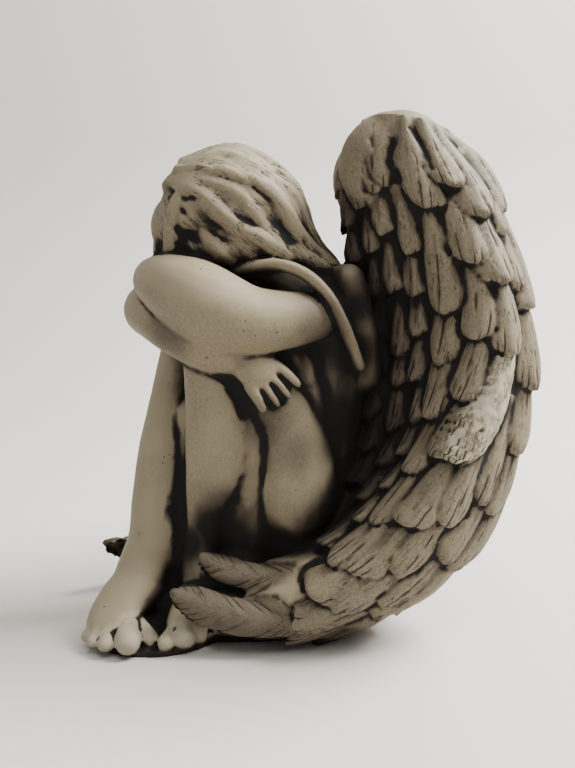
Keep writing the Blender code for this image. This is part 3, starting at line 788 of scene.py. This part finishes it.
# Distances from the line between two fingers over which their slot rises to the fingers' height
SLOT_REACH = (0.95, 1.3)
SLOT_DEPTH = 1.0
FINGER_SIDES = 10  # points round a finger
HAIR_REACH, HAIR_LOW = 1.5, 66  # how near to the locks the hair's carving reaches, and its lowest place


def combed(along, across, free):
    """Place across the barbs: straight on a wing's feather, slanting on a free one. Arrays or values."""
    return across + (along - abs(across) * CUT_SLANT - across) * free


def cuts_at(comb, reach, share, number, free):
    """Splits that run in from the tip of a feather on the wing, and slanting cuts on one that lies free."""
    spacing = SPLIT_SPACING + (CUT_SPACING - SPLIT_SPACING) * free
    line = comb / spacing + number * 0.37
    cell = np.floor(line)
    chance = np.mod(np.sin(cell * 2.17 + number * 5.31) * 41.7, 1)  # the material makes the same one
    start = FIRST_SPLIT + 0.6 * chance
    split = step(start, start + 0.15, reach)
    window = split + (step(0.2, 0.5, share) - split) * free
    return groove((line - cell - 0.5) * spacing, CUT_HALF_WIDTH) * (chance < CUT_SHARE) * window


class Feathers:
    """Where a point lies on the feather nearest to it."""

    def __init__(self, solids, rough, free):
        rows, columns = FEATHER_ALONG + 1, FEATHER_ACROSS + 1
        places, facts, tangents = [], [], []
        for number, (points, _) in enumerate(solids):
            top = points[: rows * columns].reshape(rows, columns, 3)
            steps = np.linalg.norm(np.diff(top[:, columns // 2], axis=0), axis=1)
            along = np.concatenate([[0], np.cumsum(steps)]) * MILLIMETRES
            steps = np.linalg.norm(np.diff(top, axis=1), axis=2)
            across = np.concatenate([np.zeros((rows, 1)), np.cumsum(steps, axis=1)], axis=1) * MILLIMETRES
            across -= across[:, columns // 2][:, None]
            half = np.maximum(across[:, -1], 0.4)[:, None]
            table = [along[:, None], across, along[-1], half, number, rough[number], free[number]]
            facts.append(np.stack([np.broadcast_to(t, across.shape).ravel() for t in table], 1))
            places.append(top.reshape(-1, 3))
            tangents.append(np.hstack([unit(np.gradient(top, axis=k) + 1e-9).reshape(-1, 3) for k in (0, 1)]))
        self.places, self.facts, self.tangents = (np.vstack(t) for t in (places, facts, tangents))
        self.tree = point_tree(self.places)

    def at(self, points):
        """Along, across, length, half width, number, rough, free, and how much the point belongs to it."""
        found = [self.tree.find(p)[1:] for p in points]
        index = np.array([f[0] for f in found])
        distance = np.array([f[1] for f in found]) * MILLIMETRES
        facts = self.facts[index].copy()
        apart = (points - self.places[index]) * MILLIMETRES
        facts[:, 0] += (apart * self.tangents[index, :3]).sum(1)
        facts[:, 1] += (apart * self.tangents[index, 3:]).sum(1)
        return np.hstack([facts, step(FEATHER_REACH, FEATHER_REACH / 2, distance)[:, None]])


def feather_relief(facts):
    """A plump face with a shaft, flutes along it, and splits or cuts."""
    along, across, length, half, number, rough, free, belongs = facts.T
    reach = np.clip(along / length, 0, 1)
    side, share = np.abs(across), np.clip(np.abs(across) / half, 0, 1.2)
    number = number + SIDE_NUMBER * (across > 0)
    plump = PLUMP * (0.45 - share**2) * step(0.1, 0.4, reach)
    comb = combed(along, across, free)
    flutes = sum(d * noise(comb * a, along * b, number * c) for d, a, b, c in FLUTES)
    shaft = -SHAFT_DEPTH * groove(side, 0.8)
    shaft = shaft + FREE_SHAFT_HEIGHT * free * (groove(side, 0.6) - groove(side - 1.4, 0.7))
    cuts = -(CUT_DEPTH + FREE_CUT_EXTRA * free) * cuts_at(comb, reach, share, number, free)
    pits = rough * PIT_DEPTH * noise(along / 2.2, across / 1.6, number)
    body = (flutes + shaft * (1 - step(0.85, 1, reach))) * step(0.2, 0.45, reach)
    return (body + plump + cuts + pits) * belongs


def hair_place(points):
    """Turn round the hair's axis, in radians, and place along it."""
    origin, axis, up = hair_frame()
    apart = points - origin
    return np.arctan2(apart[:, 0], apart @ up), apart @ axis


def hair_relief(points):
    """Broad and fine strands, and broken deep cuts, which all wander a little."""
    turn, place = hair_place(points)
    turn = turn + 0.22 * noise(turn * 1.3, place * 0.09, 3)
    broad = noise(turn * 7, place * 0.04, 0)
    strand = noise(turn * 19, place * 0.06, 9)
    cut = groove(noise(turn * 8, place * 0.05, 21), 0.10) * step(0.0, 0.35, noise(turn * 5, place * 0.16, 5))
    return 0.42 * broad + 0.28 * strand - 0.9 * cut


def finger_slots():
    """A tree of points along the lines between neighbouring fingers, from the knuckles to the tips."""
    lines = []
    for fingers in (hand(*LEFT_HAND, -1)[1], hand(*RIGHT_HAND)[1]):
        middles = [solid[0][:-2].reshape(-1, FINGER_SIDES, 3).mean(1) for solid in fingers]
        for one, other in zip(middles, middles[1:]):
            lines.append(smooth_curve((one + other) / 2, 50))
    return point_tree(np.vstack(lines))


def between_fingers(points, slots):
    """1 in the slots between the fingers, falling to 0 beside them."""
    return 1 - step(*SLOT_REACH, np.array([slots.find(p)[2] for p in points]))


def dome_grooves(points):
    """1 in the middle of a groove of a wing's round top, falling to 0 at its sides."""
    marks = np.zeros(len(points))
    high = points[:, 2] > DOME_LOW
    x = points[high, 0]
    line = np.vstack([smooth_curve(rows, 12) for rows in DOME_GROOVES])
    shift = np.where(x < 0, 1, 0)[:, None] * np.array(RIGHT_WING_SHIFT)[1:]
    apart = points[high][:, None, 1:] - shift[:, None] - line[None]
    marks[high] = groove(np.sqrt((apart**2).sum(2)).min(1), DOME_GROOVE_WIDTH) * step(8, 10, np.abs(x))
    return marks


def near_to(tree, points, limit):
    """1 on the surface of a solid, falling to 0 at a distance."""
    found = [tree.find_nearest(p, limit * 1.01)[3] for p in points]
    distance = np.array([limit if d is None else d for d in found])
    return 1 - step(limit * 0.5, limit, distance)


def regions(points, feathers, hair):
    """How much each point belongs to the hair, and its place on the feathers."""
    on_hair = near_to(hair, points, HAIR_REACH) * (points[:, 2] > HAIR_LOW)
    facts = feathers.at(points)
    facts[:, 7] *= 1 - on_hair
    return on_hair, facts


def carve(mesh, feathers, hair, slots):
    """Moves each point of the mesh out or in by its relief."""
    points = coordinates(mesh) / SHARE
    outward = normals(mesh)
    on_hair, facts = regions(points, feathers, hair)
    x, y, z = points.T * MILLIMETRES
    height = feather_relief(facts) + hair_relief(points) * on_hair
    height -= SLOT_DEPTH * between_fingers(points, slots)
    height -= DOME_GROOVE_DEPTH * dome_grooves(points)
    height += sum(depth * noise(x / size, y / size, z / size) for depth, size in GRIT)
    height *= step(0.5, 1.5, z)
    height = Smoother(mesh).run(height, RELIEF_SMOOTHING)
    set_coordinates(mesh, points * SHARE + outward * (height * 0.001)[:, None])


# What the finish follows

SKY_RAYS, SKY_REACH = 20, 0.05
SKY_START = 0.0004  # how far off the surface a ray starts
SHARP_SKY, SOFT_SKY, WIDE_SKY = 2, 14, 70  # rounds of smoothing that spread the painted shade's edges in the hollows
HOLLOW_ROUNDS = (4, 24, 100)  # rounds of smoothing that show narrow, middling and broad hollows
FOOT_REACH = 1.2  # how near to the feet and the legs the ground's dark wash comes
TOE_REACH = 1.0
CONTACT_SHADE_TOP = 2.4  # how high the painted shade along the table reaches, in hundredths of the height
GROUND_TOP = 9.0  # how high the dark wash covers the ground between the feet and the feathers

# Where the dark wash was left in pools and painted shade lies deep: x, y, z and reach, in hundredths of the
# height, on both sides
WASH_AND_SHADE_POOLS = [
    (10, 9, 52, 14),
    (10, 9, 38, 14),
    (12, 3, 25, 12),
    (10, -8, 18, 10),
    (10, -16, 16, 9),
    (9, -24, 11, 6),
    (14, 10, 64, 8),
    (10, 6, 64, 9),
    (13, -19, 27, 7),
]
# Where it is nearly black, painted deep shade over the dark wash, up to a distance from the middle, the last
# number: the voids beside her
VOIDS_OF_WASH_AND_SHADE = [
    (9, 9, 62, 7, 13),
    (9, 7, 42, 9, 13),
    (9, 5, 28, 8, 13),
    (10, 8, 54, 7, 13),
    (12, -17, 20, 8, 18),
    (10, -23, 17, 5, 13),
]
# Where the stone is stained brown, and where a shadow is painted brown, as the hand's on the thigh
STAINS_AND_SHADOWS = [
    (14, 2, 60, 9),
    (14, 8, 92, 5),
    (13, -16.5, 25, 6),
    (12, -26, 58, 6),
    (14, -8, 42, 7),
    (14, -3, 36, 7),
]


def open_sky(mesh):
    """Share of the sky that each vertex sees within reach."""
    points, outward = coordinates(mesh), normals(mesh)
    tree = BVHTree.FromPolygons(points.tolist(), [tuple(p.vertices) for p in mesh.polygons])
    helper = np.where(np.abs(outward[:, 2:3]) < 0.9, [[0, 0, 1.0]], [[1.0, 0, 0]])
    side = unit(np.cross(helper, outward))
    up = np.cross(outward, side)
    starts = [Vector(p) for p in points + outward * SKY_START]
    seen, total = np.zeros(len(points)), 0
    golden = math.pi * (3 - math.sqrt(5))
    for k in range(SKY_RAYS):
        height = 1 - (k + 0.5) / SKY_RAYS
        flat = math.sqrt(1 - height * height)
        ways = side * (flat * math.cos(k * golden)) + up * (flat * math.sin(k * golden)) + outward * height
        hits = [tree.ray_cast(a, Vector(b), SKY_REACH)[3] for a, b in zip(starts, ways)]
        seen += height * np.array([1.0 if h is None else h / SKY_REACH for h in hits])
        total += height
    return seen / total


def round_place(points, x, y, z, reach):
    """1 in the middle of a place, falling to 0 past its reach, with an uneven edge."""
    px, py, pz = points.T
    apart = np.sqrt((np.abs(px) - x) ** 2 + (py - y) ** 2 + (pz - z) ** 2) / reach
    return 1 - step(0.35, 1.2, apart + 0.2 * noise(px / 3, py / 3, pz / 3))


def washes(points, on_feet, belongs):
    """How much each point lies where dark wash gathers with painted shade, how deep the painted shade of the
    voids and along the table is there, and how brown it is from stains and painted shadows.
    """
    x, y, z = points.T
    # wash with painted shade, in the recesses beside her
    wash_and_shade_pool = np.max([round_place(points, *place) for place in WASH_AND_SHADE_POOLS], axis=0)
    bare = 1 - np.minimum(1, belongs * 2.5)
    ground = (1 - on_feet) * bare * (1 - step(GROUND_TOP - 3, GROUND_TOP, z))
    # the voids: painted deep shade over the wash
    deep = [round_place(points, *place) * (1 - step(far, far + 3, np.abs(x))) for *place, far in VOIDS_OF_WASH_AND_SHADE]
    # painted shade, nearly black, along the table where the casting meets it
    edge = 1 - step(0.8, CONTACT_SHADE_TOP, z + 0.5 * noise(x / 3, y / 3, z / 3))
    # brown stains, and painted shadows such as the hand's on the thigh
    brown = np.max([round_place(points, *place) for place in STAINS_AND_SHADOWS], axis=0)
    return np.maximum(wash_and_shade_pool, 0.85 * ground), np.max(deep + [0.9 * edge], axis=0), brown


def store_finish(mesh, feathers, hair, slots):
    """Stores what the material reads. Each name there takes three numbers."""
    points = coordinates(mesh)
    places = points / SHARE
    on_hair, facts = regions(places, feathers, hair)
    along, across, length, half, number, rough, free, belongs = facts.T
    store(mesh, "barbs", along, across, number)
    store(mesh, "feather", along / length, np.abs(across) / half, belongs)
    store(mesh, "kind", rough, free, on_hair)
    marks = np.maximum(between_fingers(places, slots), dome_grooves(places))
    all_toes = toes(LEFT_TOES, LEFT_TOES_FROM) + toes(RIGHT_TOES, RIGHT_TOES_FROM)
    on_dome = step(DOME_LOW, DOME_LOW + 4, places[:, 2])
    on_wing = np.maximum(belongs * (1 - free), on_dome * (1 - on_hair))
    store(mesh, "detail", marks, near_to(tree_of(all_toes), places, TOE_REACH), on_wing)
    store(mesh, "strand", *hair_place(places), on_hair)
    legs = [limb(rows) for rows in (LEFT_FOOT, RIGHT_FOOT, LEFT_CALF, RIGHT_CALF)]
    on_feet = near_to(tree_of(legs + fingers_and_toes()), places, FOOT_REACH)
    store(mesh, "wash_and_shade_pool", *washes(places, on_feet, belongs))
    smoother = Smoother(mesh)
    sky = open_sky(mesh)
    store(mesh, "sky", *[smoother.run(sky, rounds) for rounds in (SHARP_SKY, SOFT_SKY, WIDE_SKY)])
    outward = normals(mesh)
    depths = []
    for rounds in HOLLOW_ROUNDS:
        smoothed = np.stack([smoother.run(column, rounds) for column in points.T], 1)
        depths.append(((smoothed - points) * outward).sum(1) * 1000)
    store(mesh, "depth", *depths)


def casting():
    """The carved casting with what its finish follows, and how far it was shifted to the solid's place."""
    body = melted("body", body_parts(), BODY_VOXEL, 6)
    melted_body = (coordinates(body) / SHARE, [tuple(p.vertices) for p in body.polygons])
    left = wing_solids(LOW_RIDGE, [LOW_FEATHER, INNER_FEATHER])
    right = [mirrored(s, RIGHT_WING_SHIFT) for s in wing_solids(LONG_RIDGE, [LONG_FEATHER, INNER_FEATHER])]
    locks = hair_locks()
    solids = [melted_body] + fingers_and_toes() + left + right + locks + dress_band()
    mesh = largest_shell(melted("rough", solids, SKIN_VOXEL, 1))

    # the feathers follow a wing's first three solids: the lanes', the long one, and the two that lie free
    plain_count = sum(len(lane[3]) for lane in FACE_LANES + BACK_LANES)
    rough = [0.0] * plain_count + [1.0, 0.0, 0.0]
    free = [0.0] * plain_count + [0.0, 1.0, 1.0]
    feathers = Feathers(left[3:] + right[3:], rough * 2, free * 2)
    hair = tree_of(locks + [limb(HEAD), limb(HAIR_SIDES)])
    slots = finger_slots()
    carve(mesh, feathers, hair, slots)
    cut_flat(mesh)
    fine = thinned(mesh, TRIANGLES)
    store_finish(fine, feathers, hair, slots)

    points = coordinates(fine)
    shift = (cad_box[0] + cad_box[1]) / 2 - Vector((points.min(0) + points.max(0)) / 2)
    shift.z = 0
    set_coordinates(fine, points + np.array(shift))
    return fine, shift


# Material


class Value:
    """A number that a material works out at each point. Sums of values become Math nodes."""

    def __init__(self, nodes, socket):
        self.nodes, self.socket = nodes, socket

    def __add__(self, other):
        return self.nodes.math("ADD", self, other)

    def __sub__(self, other):
        return self.nodes.math("SUBTRACT", self, other)

    def __rsub__(self, other):
        return self.nodes.math("SUBTRACT", other, self)

    def __mul__(self, other):
        return self.nodes.math("MULTIPLY", self, other)

    def __truediv__(self, other):
        return self.nodes.math("DIVIDE", self, other)

    def __lt__(self, other):
        return self.nodes.math("LESS_THAN", self, other)

    def __gt__(self, other):
        return self.nodes.math("GREATER_THAN", self, other)

    def __abs__(self):
        return self.nodes.math("ABSOLUTE", self)


class Nodes:
    """Short calls for a material's nodes."""

    def __init__(self, material):
        material.use_nodes = True
        self.tree = material.node_tree
        self.shader = self.tree.nodes["Principled BSDF"]

    def new(self, kind, **settings):
        node = self.tree.nodes.new(kind)
        for name, value in settings.items():
            setattr(node, name, value)
        return node

    def feed(self, socket, value):
        if isinstance(value, Value):
            self.tree.links.new(value.socket, socket)
        else:
            socket.default_value = value

    def fed(self, kind, values, **settings):
        """A new node with values on its first inputs."""
        node = self.new(kind, **settings)
        for socket, value in zip(node.inputs, values):
            self.feed(socket, value)
        return node

    def math(self, operation, a, b=0.0):
        return Value(self, self.fed("ShaderNodeMath", (a, b), operation=operation).outputs[0])

    def most(self, a, b):
        return self.math("MAXIMUM", a, b)

    def ramp(self, value, low, high, to_low=0.0, to_high=1.0):
        """A smooth change from to_low at low to to_high at high."""
        values = (value, low, high, to_low, to_high)
        return Value(self, self.fed("ShaderNodeMapRange", values, interpolation_type="SMOOTHSTEP").outputs[0])

    def mix(self, share, a, b):
        """Colour a, with a share of colour b."""
        node = self.new("ShaderNodeMix", data_type="RGBA")
        for socket, value in zip((node.inputs["Factor"], node.inputs[6], node.inputs[7]), (share, a, b)):
            self.feed(socket, value)
        return Value(self, node.outputs[2])

    def split(self, vector):
        """The three numbers of a vector."""
        return [Value(self, s) for s in self.fed("ShaderNodeSeparateXYZ", (vector,)).outputs]

    def parts(self, name):
        """The three numbers that each vertex stores under a name."""
        return self.split(Value(self, self.new("ShaderNodeAttribute", attribute_name=name).outputs["Vector"]))

    def noise(self, scale, detail=3.0, roughness=0.55, place=None):
        node = self.new("ShaderNodeTexNoise")
        values = {"Vector": place or self.place, "Scale": scale, "Detail": detail, "Roughness": roughness}
        for name, value in values.items():
            self.feed(node.inputs[name], value)
        return Value(self, node.outputs["Fac"])

    def lines(self, across, along, number, half_width):
        """Thin lines along the middles of a stretched noise."""
        place = Value(self, self.fed("ShaderNodeCombineXYZ", (across, along, number)).outputs[0])
        return self.ramp(abs(self.noise(1.6, 2, 0.5, place) - 0.5), half_width, 0.0)


PALE = (0.31, 0.262, 0.172, 1)
STONE = (0.165, 0.131, 0.083, 1)
BROWN = (0.050, 0.036, 0.025, 1)
BLACK = (0.007, 0.006, 0.005, 1)
CHALK = (0.52, 0.48, 0.37, 1)
FLOOR = (0.66, 0.64, 0.605, 1)
BARB_LINES = (0.5, 0.03, 0.03)  # across, along and half width, for lines()
HAIR_LINES = (9, 0.10, 0.035)
PIT_SCALE = 420
BUMP_DISTANCE = 0.0004

# How much of the clean, lit stone each kind of dark takes away: wash with painted shade in the pools, the
# carved lines, and painted deep shade in the voids
POOL_DARK, LINE_DARK, VOID_DARK = 0.95, 0.85, 0.98
# How brown the stone is on the wings, the free feathers and the hair, and in the stains: on the wings and the
# free feathers this is wash with painted shade, in the stains also painted shadow
WING_WASH_AND_SHADE, FREE_WASH_AND_SHADE, HAIR_BROWN, STAIN_AND_SHADOW_BROWN = 0.66, 0.8, 0.30, 0.72


def cut_marks(n, comb, reach, share, number, free):
    """Thin dark lines in the carved splits and cuts, at the places that cuts_at() gives them."""
    spacing = free * (CUT_SPACING - SPLIT_SPACING) + SPLIT_SPACING
    line = number * 0.37 + comb / spacing
    cell = n.math("FLOOR", line)
    chance = n.math("FLOORED_MODULO", n.math("SINE", cell * 2.17 + number * 5.31) * 41.7, 1)
    split = n.ramp(reach - (chance * 0.6 + FIRST_SPLIT), 0.0, 0.15)
    window = (n.ramp(share, 0.2, 0.5) - split) * free + split
    place = abs(line - cell - 0.5) * spacing
    return n.ramp(place, CUT_HALF_WIDTH, 0.1) * ((chance < CUT_SHARE) * window)


def carved_lines(n, streak, belongs, free):
    """Dark lines in the feathers and the hair, and in the slots and grooves that the mesh marks."""
    along, across, number = n.parts("barbs")
    reach, share, _ = n.parts("feather")
    turn, place, on_hair = n.parts("strand")
    number = (across > 0) * SIDE_NUMBER + n.math("ROUND", number)
    comb = combed(along, across, free)
    cuts = cut_marks(n, comb, reach, share, number, free)
    wide, long, half_width = BARB_LINES
    barbs = n.lines(comb * wide, along * long, number, half_width) * n.ramp(streak, 0.40, 0.56) * 0.8
    shaft = n.ramp(abs(across), 0.8, 0.2) * n.ramp(reach, 0.3, 0.5) * n.ramp(streak, 0.40, 0.62)
    shaft = shaft * (free * -0.7 + 1)
    feather = n.most(n.most(cuts, barbs), shaft) * n.ramp(belongs, 0.6, 1)
    wide, long, half_width = HAIR_LINES
    strand = n.lines(turn * wide, place * long, 0.0, half_width) * on_hair * n.ramp(streak, 0.42, 0.60)
    return n.most(n.most(feather, strand), n.parts("detail")[0])


def stone_material():
    """Cast stone: beige, rubbed pale on its high places and given painted top light, with a brown-black wash
    left in the hollows and painted shade where little sky is seen.
    """
    material = bpy.data.materials.new("cast_stone")
    n = Nodes(material)
    coordinates = n.new("ShaderNodeTexCoord")
    n.place = Value(n, coordinates.outputs["Object"])
    # upward: how much a face points up, for the painted top light below
    upward = n.ramp(n.split(Value(n, coordinates.outputs["Normal"]))[2], -0.35, 0.65)
    sharp, soft, wide = n.parts("sky")
    wash_and_shade_pool, deep, brown = n.parts("wash_and_shade_pool")
    narrow, middling, broad = n.parts("depth")
    rough, free, on_hair = n.parts("kind")
    _, on_toes, on_wing = n.parts("detail")
    belongs = n.parts("feather")[2]
    loose = free * belongs

    blotch = n.noise(40, 3, 0.5)
    streak = n.noise(90, 3, 0.6)
    mottle = n.noise(190, 5, 0.7)
    speckle = n.noise(950, 3, 0.7)
    grain = n.noise(1500, 3, 0.6)
    lines = carved_lines(n, streak, belongs, free)

    # wash stays in low places and in the carved lines; in the pools and where little sky is seen the dark is
    # wash with painted shade
    depth = narrow * 2.4 + middling * 1.1 + broad * 0.22
    uneven = (mottle - 0.5) * 0.5 + (speckle - 0.5)
    wash = n.ramp(uneven * 0.14 + depth, -0.2, 1.1) * (n.ramp(loose, 0.0, 0.5) * -0.5 + 1)
    # how much sky a point sees: the less, the deeper the painted shade, a little deeper still on the wings
    sky = sharp * 0.35 + soft * 0.4 + wide * 0.25
    hidden = (blotch - 0.5) * 0.25 + uneven * 0.05 + on_wing * -0.06 + sky
    shade = n.ramp(hidden, 0.90, 0.36)
    # the pools of wash take painted shade too, deeper where little sky is seen
    pooled_wash_and_shade = wash_and_shade_pool * n.ramp(hidden, 0.92, 0.55, 0.30, 1.0) * (on_wing * -0.35 + 1)
    # what is left of the clean, lit stone after the wash, the painted shade, the pools and the lines, and
    # then the voids
    clean = (1 - wash) * (1 - shade) * (pooled_wash_and_shade * -POOL_DARK + 1) * (lines * -LINE_DARK + 1)
    dark = 1 - clean * (deep * -VOID_DARK + 1)
    high = (streak - 0.5) * 0.6 - depth
    rub = n.ramp(high, 0.05, 0.6) * n.ramp(speckle, 0.85, 0.2) * (n.most(brown, loose) * -0.7 + 1)

    # pale blotches at random, and painted top light: faces that point up are paler, those that point down
    # darker
    blotch_and_top_light = (blotch - 0.5) * 1.1 + upward * 0.75 + 0.1
    colour = n.mix(n.ramp(blotch_and_top_light, 0.0, 0.9), STONE, PALE)
    colour = n.mix(n.ramp(speckle, 0.42, 0.78) * 0.08, colour, BROWN)
    # browner on the hair; on the wings and the free feathers the brown is wash with painted shade
    browned_and_shaded = on_hair * HAIR_BROWN + loose * FREE_WASH_AND_SHADE + on_wing * WING_WASH_AND_SHADE
    colour = n.mix(n.most(browned_and_shaded, brown * STAIN_AND_SHADOW_BROWN), colour, BROWN)
    colour = n.mix(rub * 0.6, colour, PALE)
    colour = n.mix(rough * n.ramp(mottle, 0.60, 0.46) * 0.55, colour, CHALK)
    colour = n.mix(on_toes * 0.4, colour, CHALK)
    # brown, then black, where the wash and the painted shade of the hollows, pools, voids and table edge are
    # darkest
    colour = n.mix(n.ramp(dark, 0.12, 0.85), colour, BROWN)
    colour = n.mix(n.ramp(dark, 0.72, 1.0), colour, BLACK)
    cells = n.new("ShaderNodeTexVoronoi", feature="F1")
    n.feed(cells.inputs["Scale"], PIT_SCALE)
    n.feed(cells.inputs["Vector"], n.place)
    pit = n.ramp(Value(n, cells.outputs["Distance"]), 0.18, 0.08) * n.ramp(n.noise(90, 2), 0.58, 0.64)
    colour = n.mix(pit * 0.85, colour, BLACK)

    bump = n.new("ShaderNodeBump")
    n.feed(bump.inputs["Strength"], 0.6)
    n.feed(bump.inputs["Distance"], BUMP_DISTANCE)
    n.feed(bump.inputs["Height"], grain * 0.3 + mottle * 0.35 + lines * -1.5 + pit * -1.2)
    n.feed(n.shader.inputs["Base Color"], colour)
    n.feed(n.shader.inputs["Roughness"], n.ramp(dark, 0.0, 1.0, 0.58, 0.84))
    n.feed(n.shader.inputs["Specular IOR Level"], 0.30)
    n.feed(n.shader.inputs["Normal"], Value(n, bump.outputs["Normal"]))
    return material


def floor_material():
    material = bpy.data.materials.new("pale_floor")
    n = Nodes(material)
    for name, value in {"Base Color": FLOOR, "Roughness": 0.6, "Specular IOR Level": 0.2}.items():
        n.feed(n.shader.inputs[name], value)
    return material


# Floor, light and camera

VIEW_AZIMUTH = 80  # the camera stands on the angel's left side, a little in front
VIEW_PITCH = 9.0  # degrees down
VIEW_DISTANCE = 190.8  # hundredths of the height, over the floor
VIEW_HEIGHT = 76.7
VIEW_FOCAL = 950  # pixels, in a picture 768 high
VIEW_TURN = math.atan(12.5 / VIEW_FOCAL)  # the camera looks 12.5 pixels to the left of the middle
PICTURE_HEIGHT = 768

FLOOR_REACH, FLOOR_BEND, FLOOR_BEHIND, FLOOR_HIGH = 1.4, 0.25, 0.62, 1.3  # metres
FLOOR_HALF_WIDTH = 2.2

# Name, azimuth from the camera's, elevation, distance, width and height, watts, colour
LIGHTS = [
    ("window", 100, 48, 1.1, (0.7, 0.6), 48, (1.0, 0.985, 0.95)),
    ("room", 15, 62, 1.4, (1.0, 0.9), 10, (1.0, 0.96, 0.90)),
    ("left", -75, 25, 1.3, (0.9, 0.9), 2.5, (0.95, 0.97, 1.0)),
]
LIGHT_AIM = 0.09  # metres up
SURROUNDINGS, SURROUNDINGS_STRENGTH = (0.93, 0.95, 1.0, 1), 0.20


def floor(centre):
    """A pale floor that curves up into a backdrop, behind the figurine as the camera sees it."""
    start = FLOOR_BEHIND - FLOOR_BEND
    profile = [(-FLOOR_REACH, 0.0), (start, 0.0)]
    for a in np.linspace(0.1, math.pi / 2, 12):
        profile.append((start + FLOOR_BEND * math.sin(a), FLOOR_BEND - FLOOR_BEND * math.cos(a)))
    profile.append((FLOOR_BEHIND, FLOOR_HIGH))
    turn = Matrix.Rotation(math.radians(VIEW_AZIMUTH), 3, "Z")
    points = []
    for x in (-FLOOR_HALF_WIDTH, FLOOR_HALF_WIDTH):
        points += [tuple(turn @ Vector((x, y, z)) + centre) for y, z in profile]
    count = len(profile)
    faces = [(i, i + 1, count + i + 1, count + i) for i in range(count - 1)]
    mesh = bpy.data.meshes.new("floor")
    mesh.from_pydata(points, [], faces)
    mesh.shade_smooth()
    mesh.materials.append(floor_material())
    object_of("floor", mesh)


def camera(centre):
    a, pitch = math.radians(VIEW_AZIMUTH), math.radians(VIEW_PITCH)
    place = Vector((VIEW_DISTANCE * math.sin(a), -VIEW_DISTANCE * math.cos(a), VIEW_HEIGHT)) * SHARE + centre
    ahead = Vector((-math.sin(a), math.cos(a), 0))
    right = Vector((math.cos(a), math.sin(a), 0))
    level = ahead * math.cos(VIEW_TURN) - right * math.sin(VIEW_TURN)
    across = right * math.cos(VIEW_TURN) + ahead * math.sin(VIEW_TURN)
    way = level * math.cos(pitch) - Vector((0, 0, 1)) * math.sin(pitch)
    data = bpy.data.cameras.new("camera")
    data.sensor_width = 36
    data.lens = data.sensor_width * VIEW_FOCAL / PICTURE_HEIGHT
    data.clip_start = 0.01
    obj = object_of("camera", data)
    turn = Matrix((across, across.cross(way), -way)).transposed().to_4x4()
    obj.matrix_world = Matrix.Translation(place) @ turn
    bpy.context.scene.camera = obj


def light(centre):
    """Three soft area lights that look at the figurine, and dim surroundings."""
    aim = centre + Vector((0, 0, LIGHT_AIM))
    for name, azimuth, elevation, distance, size, power, colour in LIGHTS:
        data = bpy.data.lights.new(name, "AREA")
        data.shape = "RECTANGLE"
        data.size, data.size_y = size
        data.energy = power
        data.color = colour
        a, e = math.radians(VIEW_AZIMUTH + azimuth), math.radians(elevation)
        way = Vector((math.sin(a) * math.cos(e), -math.cos(a) * math.cos(e), math.sin(e)))
        obj = object_of(name, data)
        obj.location = aim + way * distance
        obj.rotation_euler = (-way).to_track_quat("-Z", "Y").to_euler()
    world = bpy.data.worlds.new("world")
    bpy.context.scene.world = world
    world.use_nodes = True
    background = world.node_tree.nodes["Background"]
    background.inputs["Color"].default_value = SURROUNDINGS
    background.inputs["Strength"].default_value = SURROUNDINGS_STRENGTH


mesh, centre = casting()
mesh.name = "angel_casting"
mesh.shade_smooth()
mesh.materials.clear()
mesh.materials.append(stone_material())
angel = object_of("angel_casting", mesh)
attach(angel, "root")
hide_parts("angel_figurine")

floor(centre)
camera(centre)
light(centre)
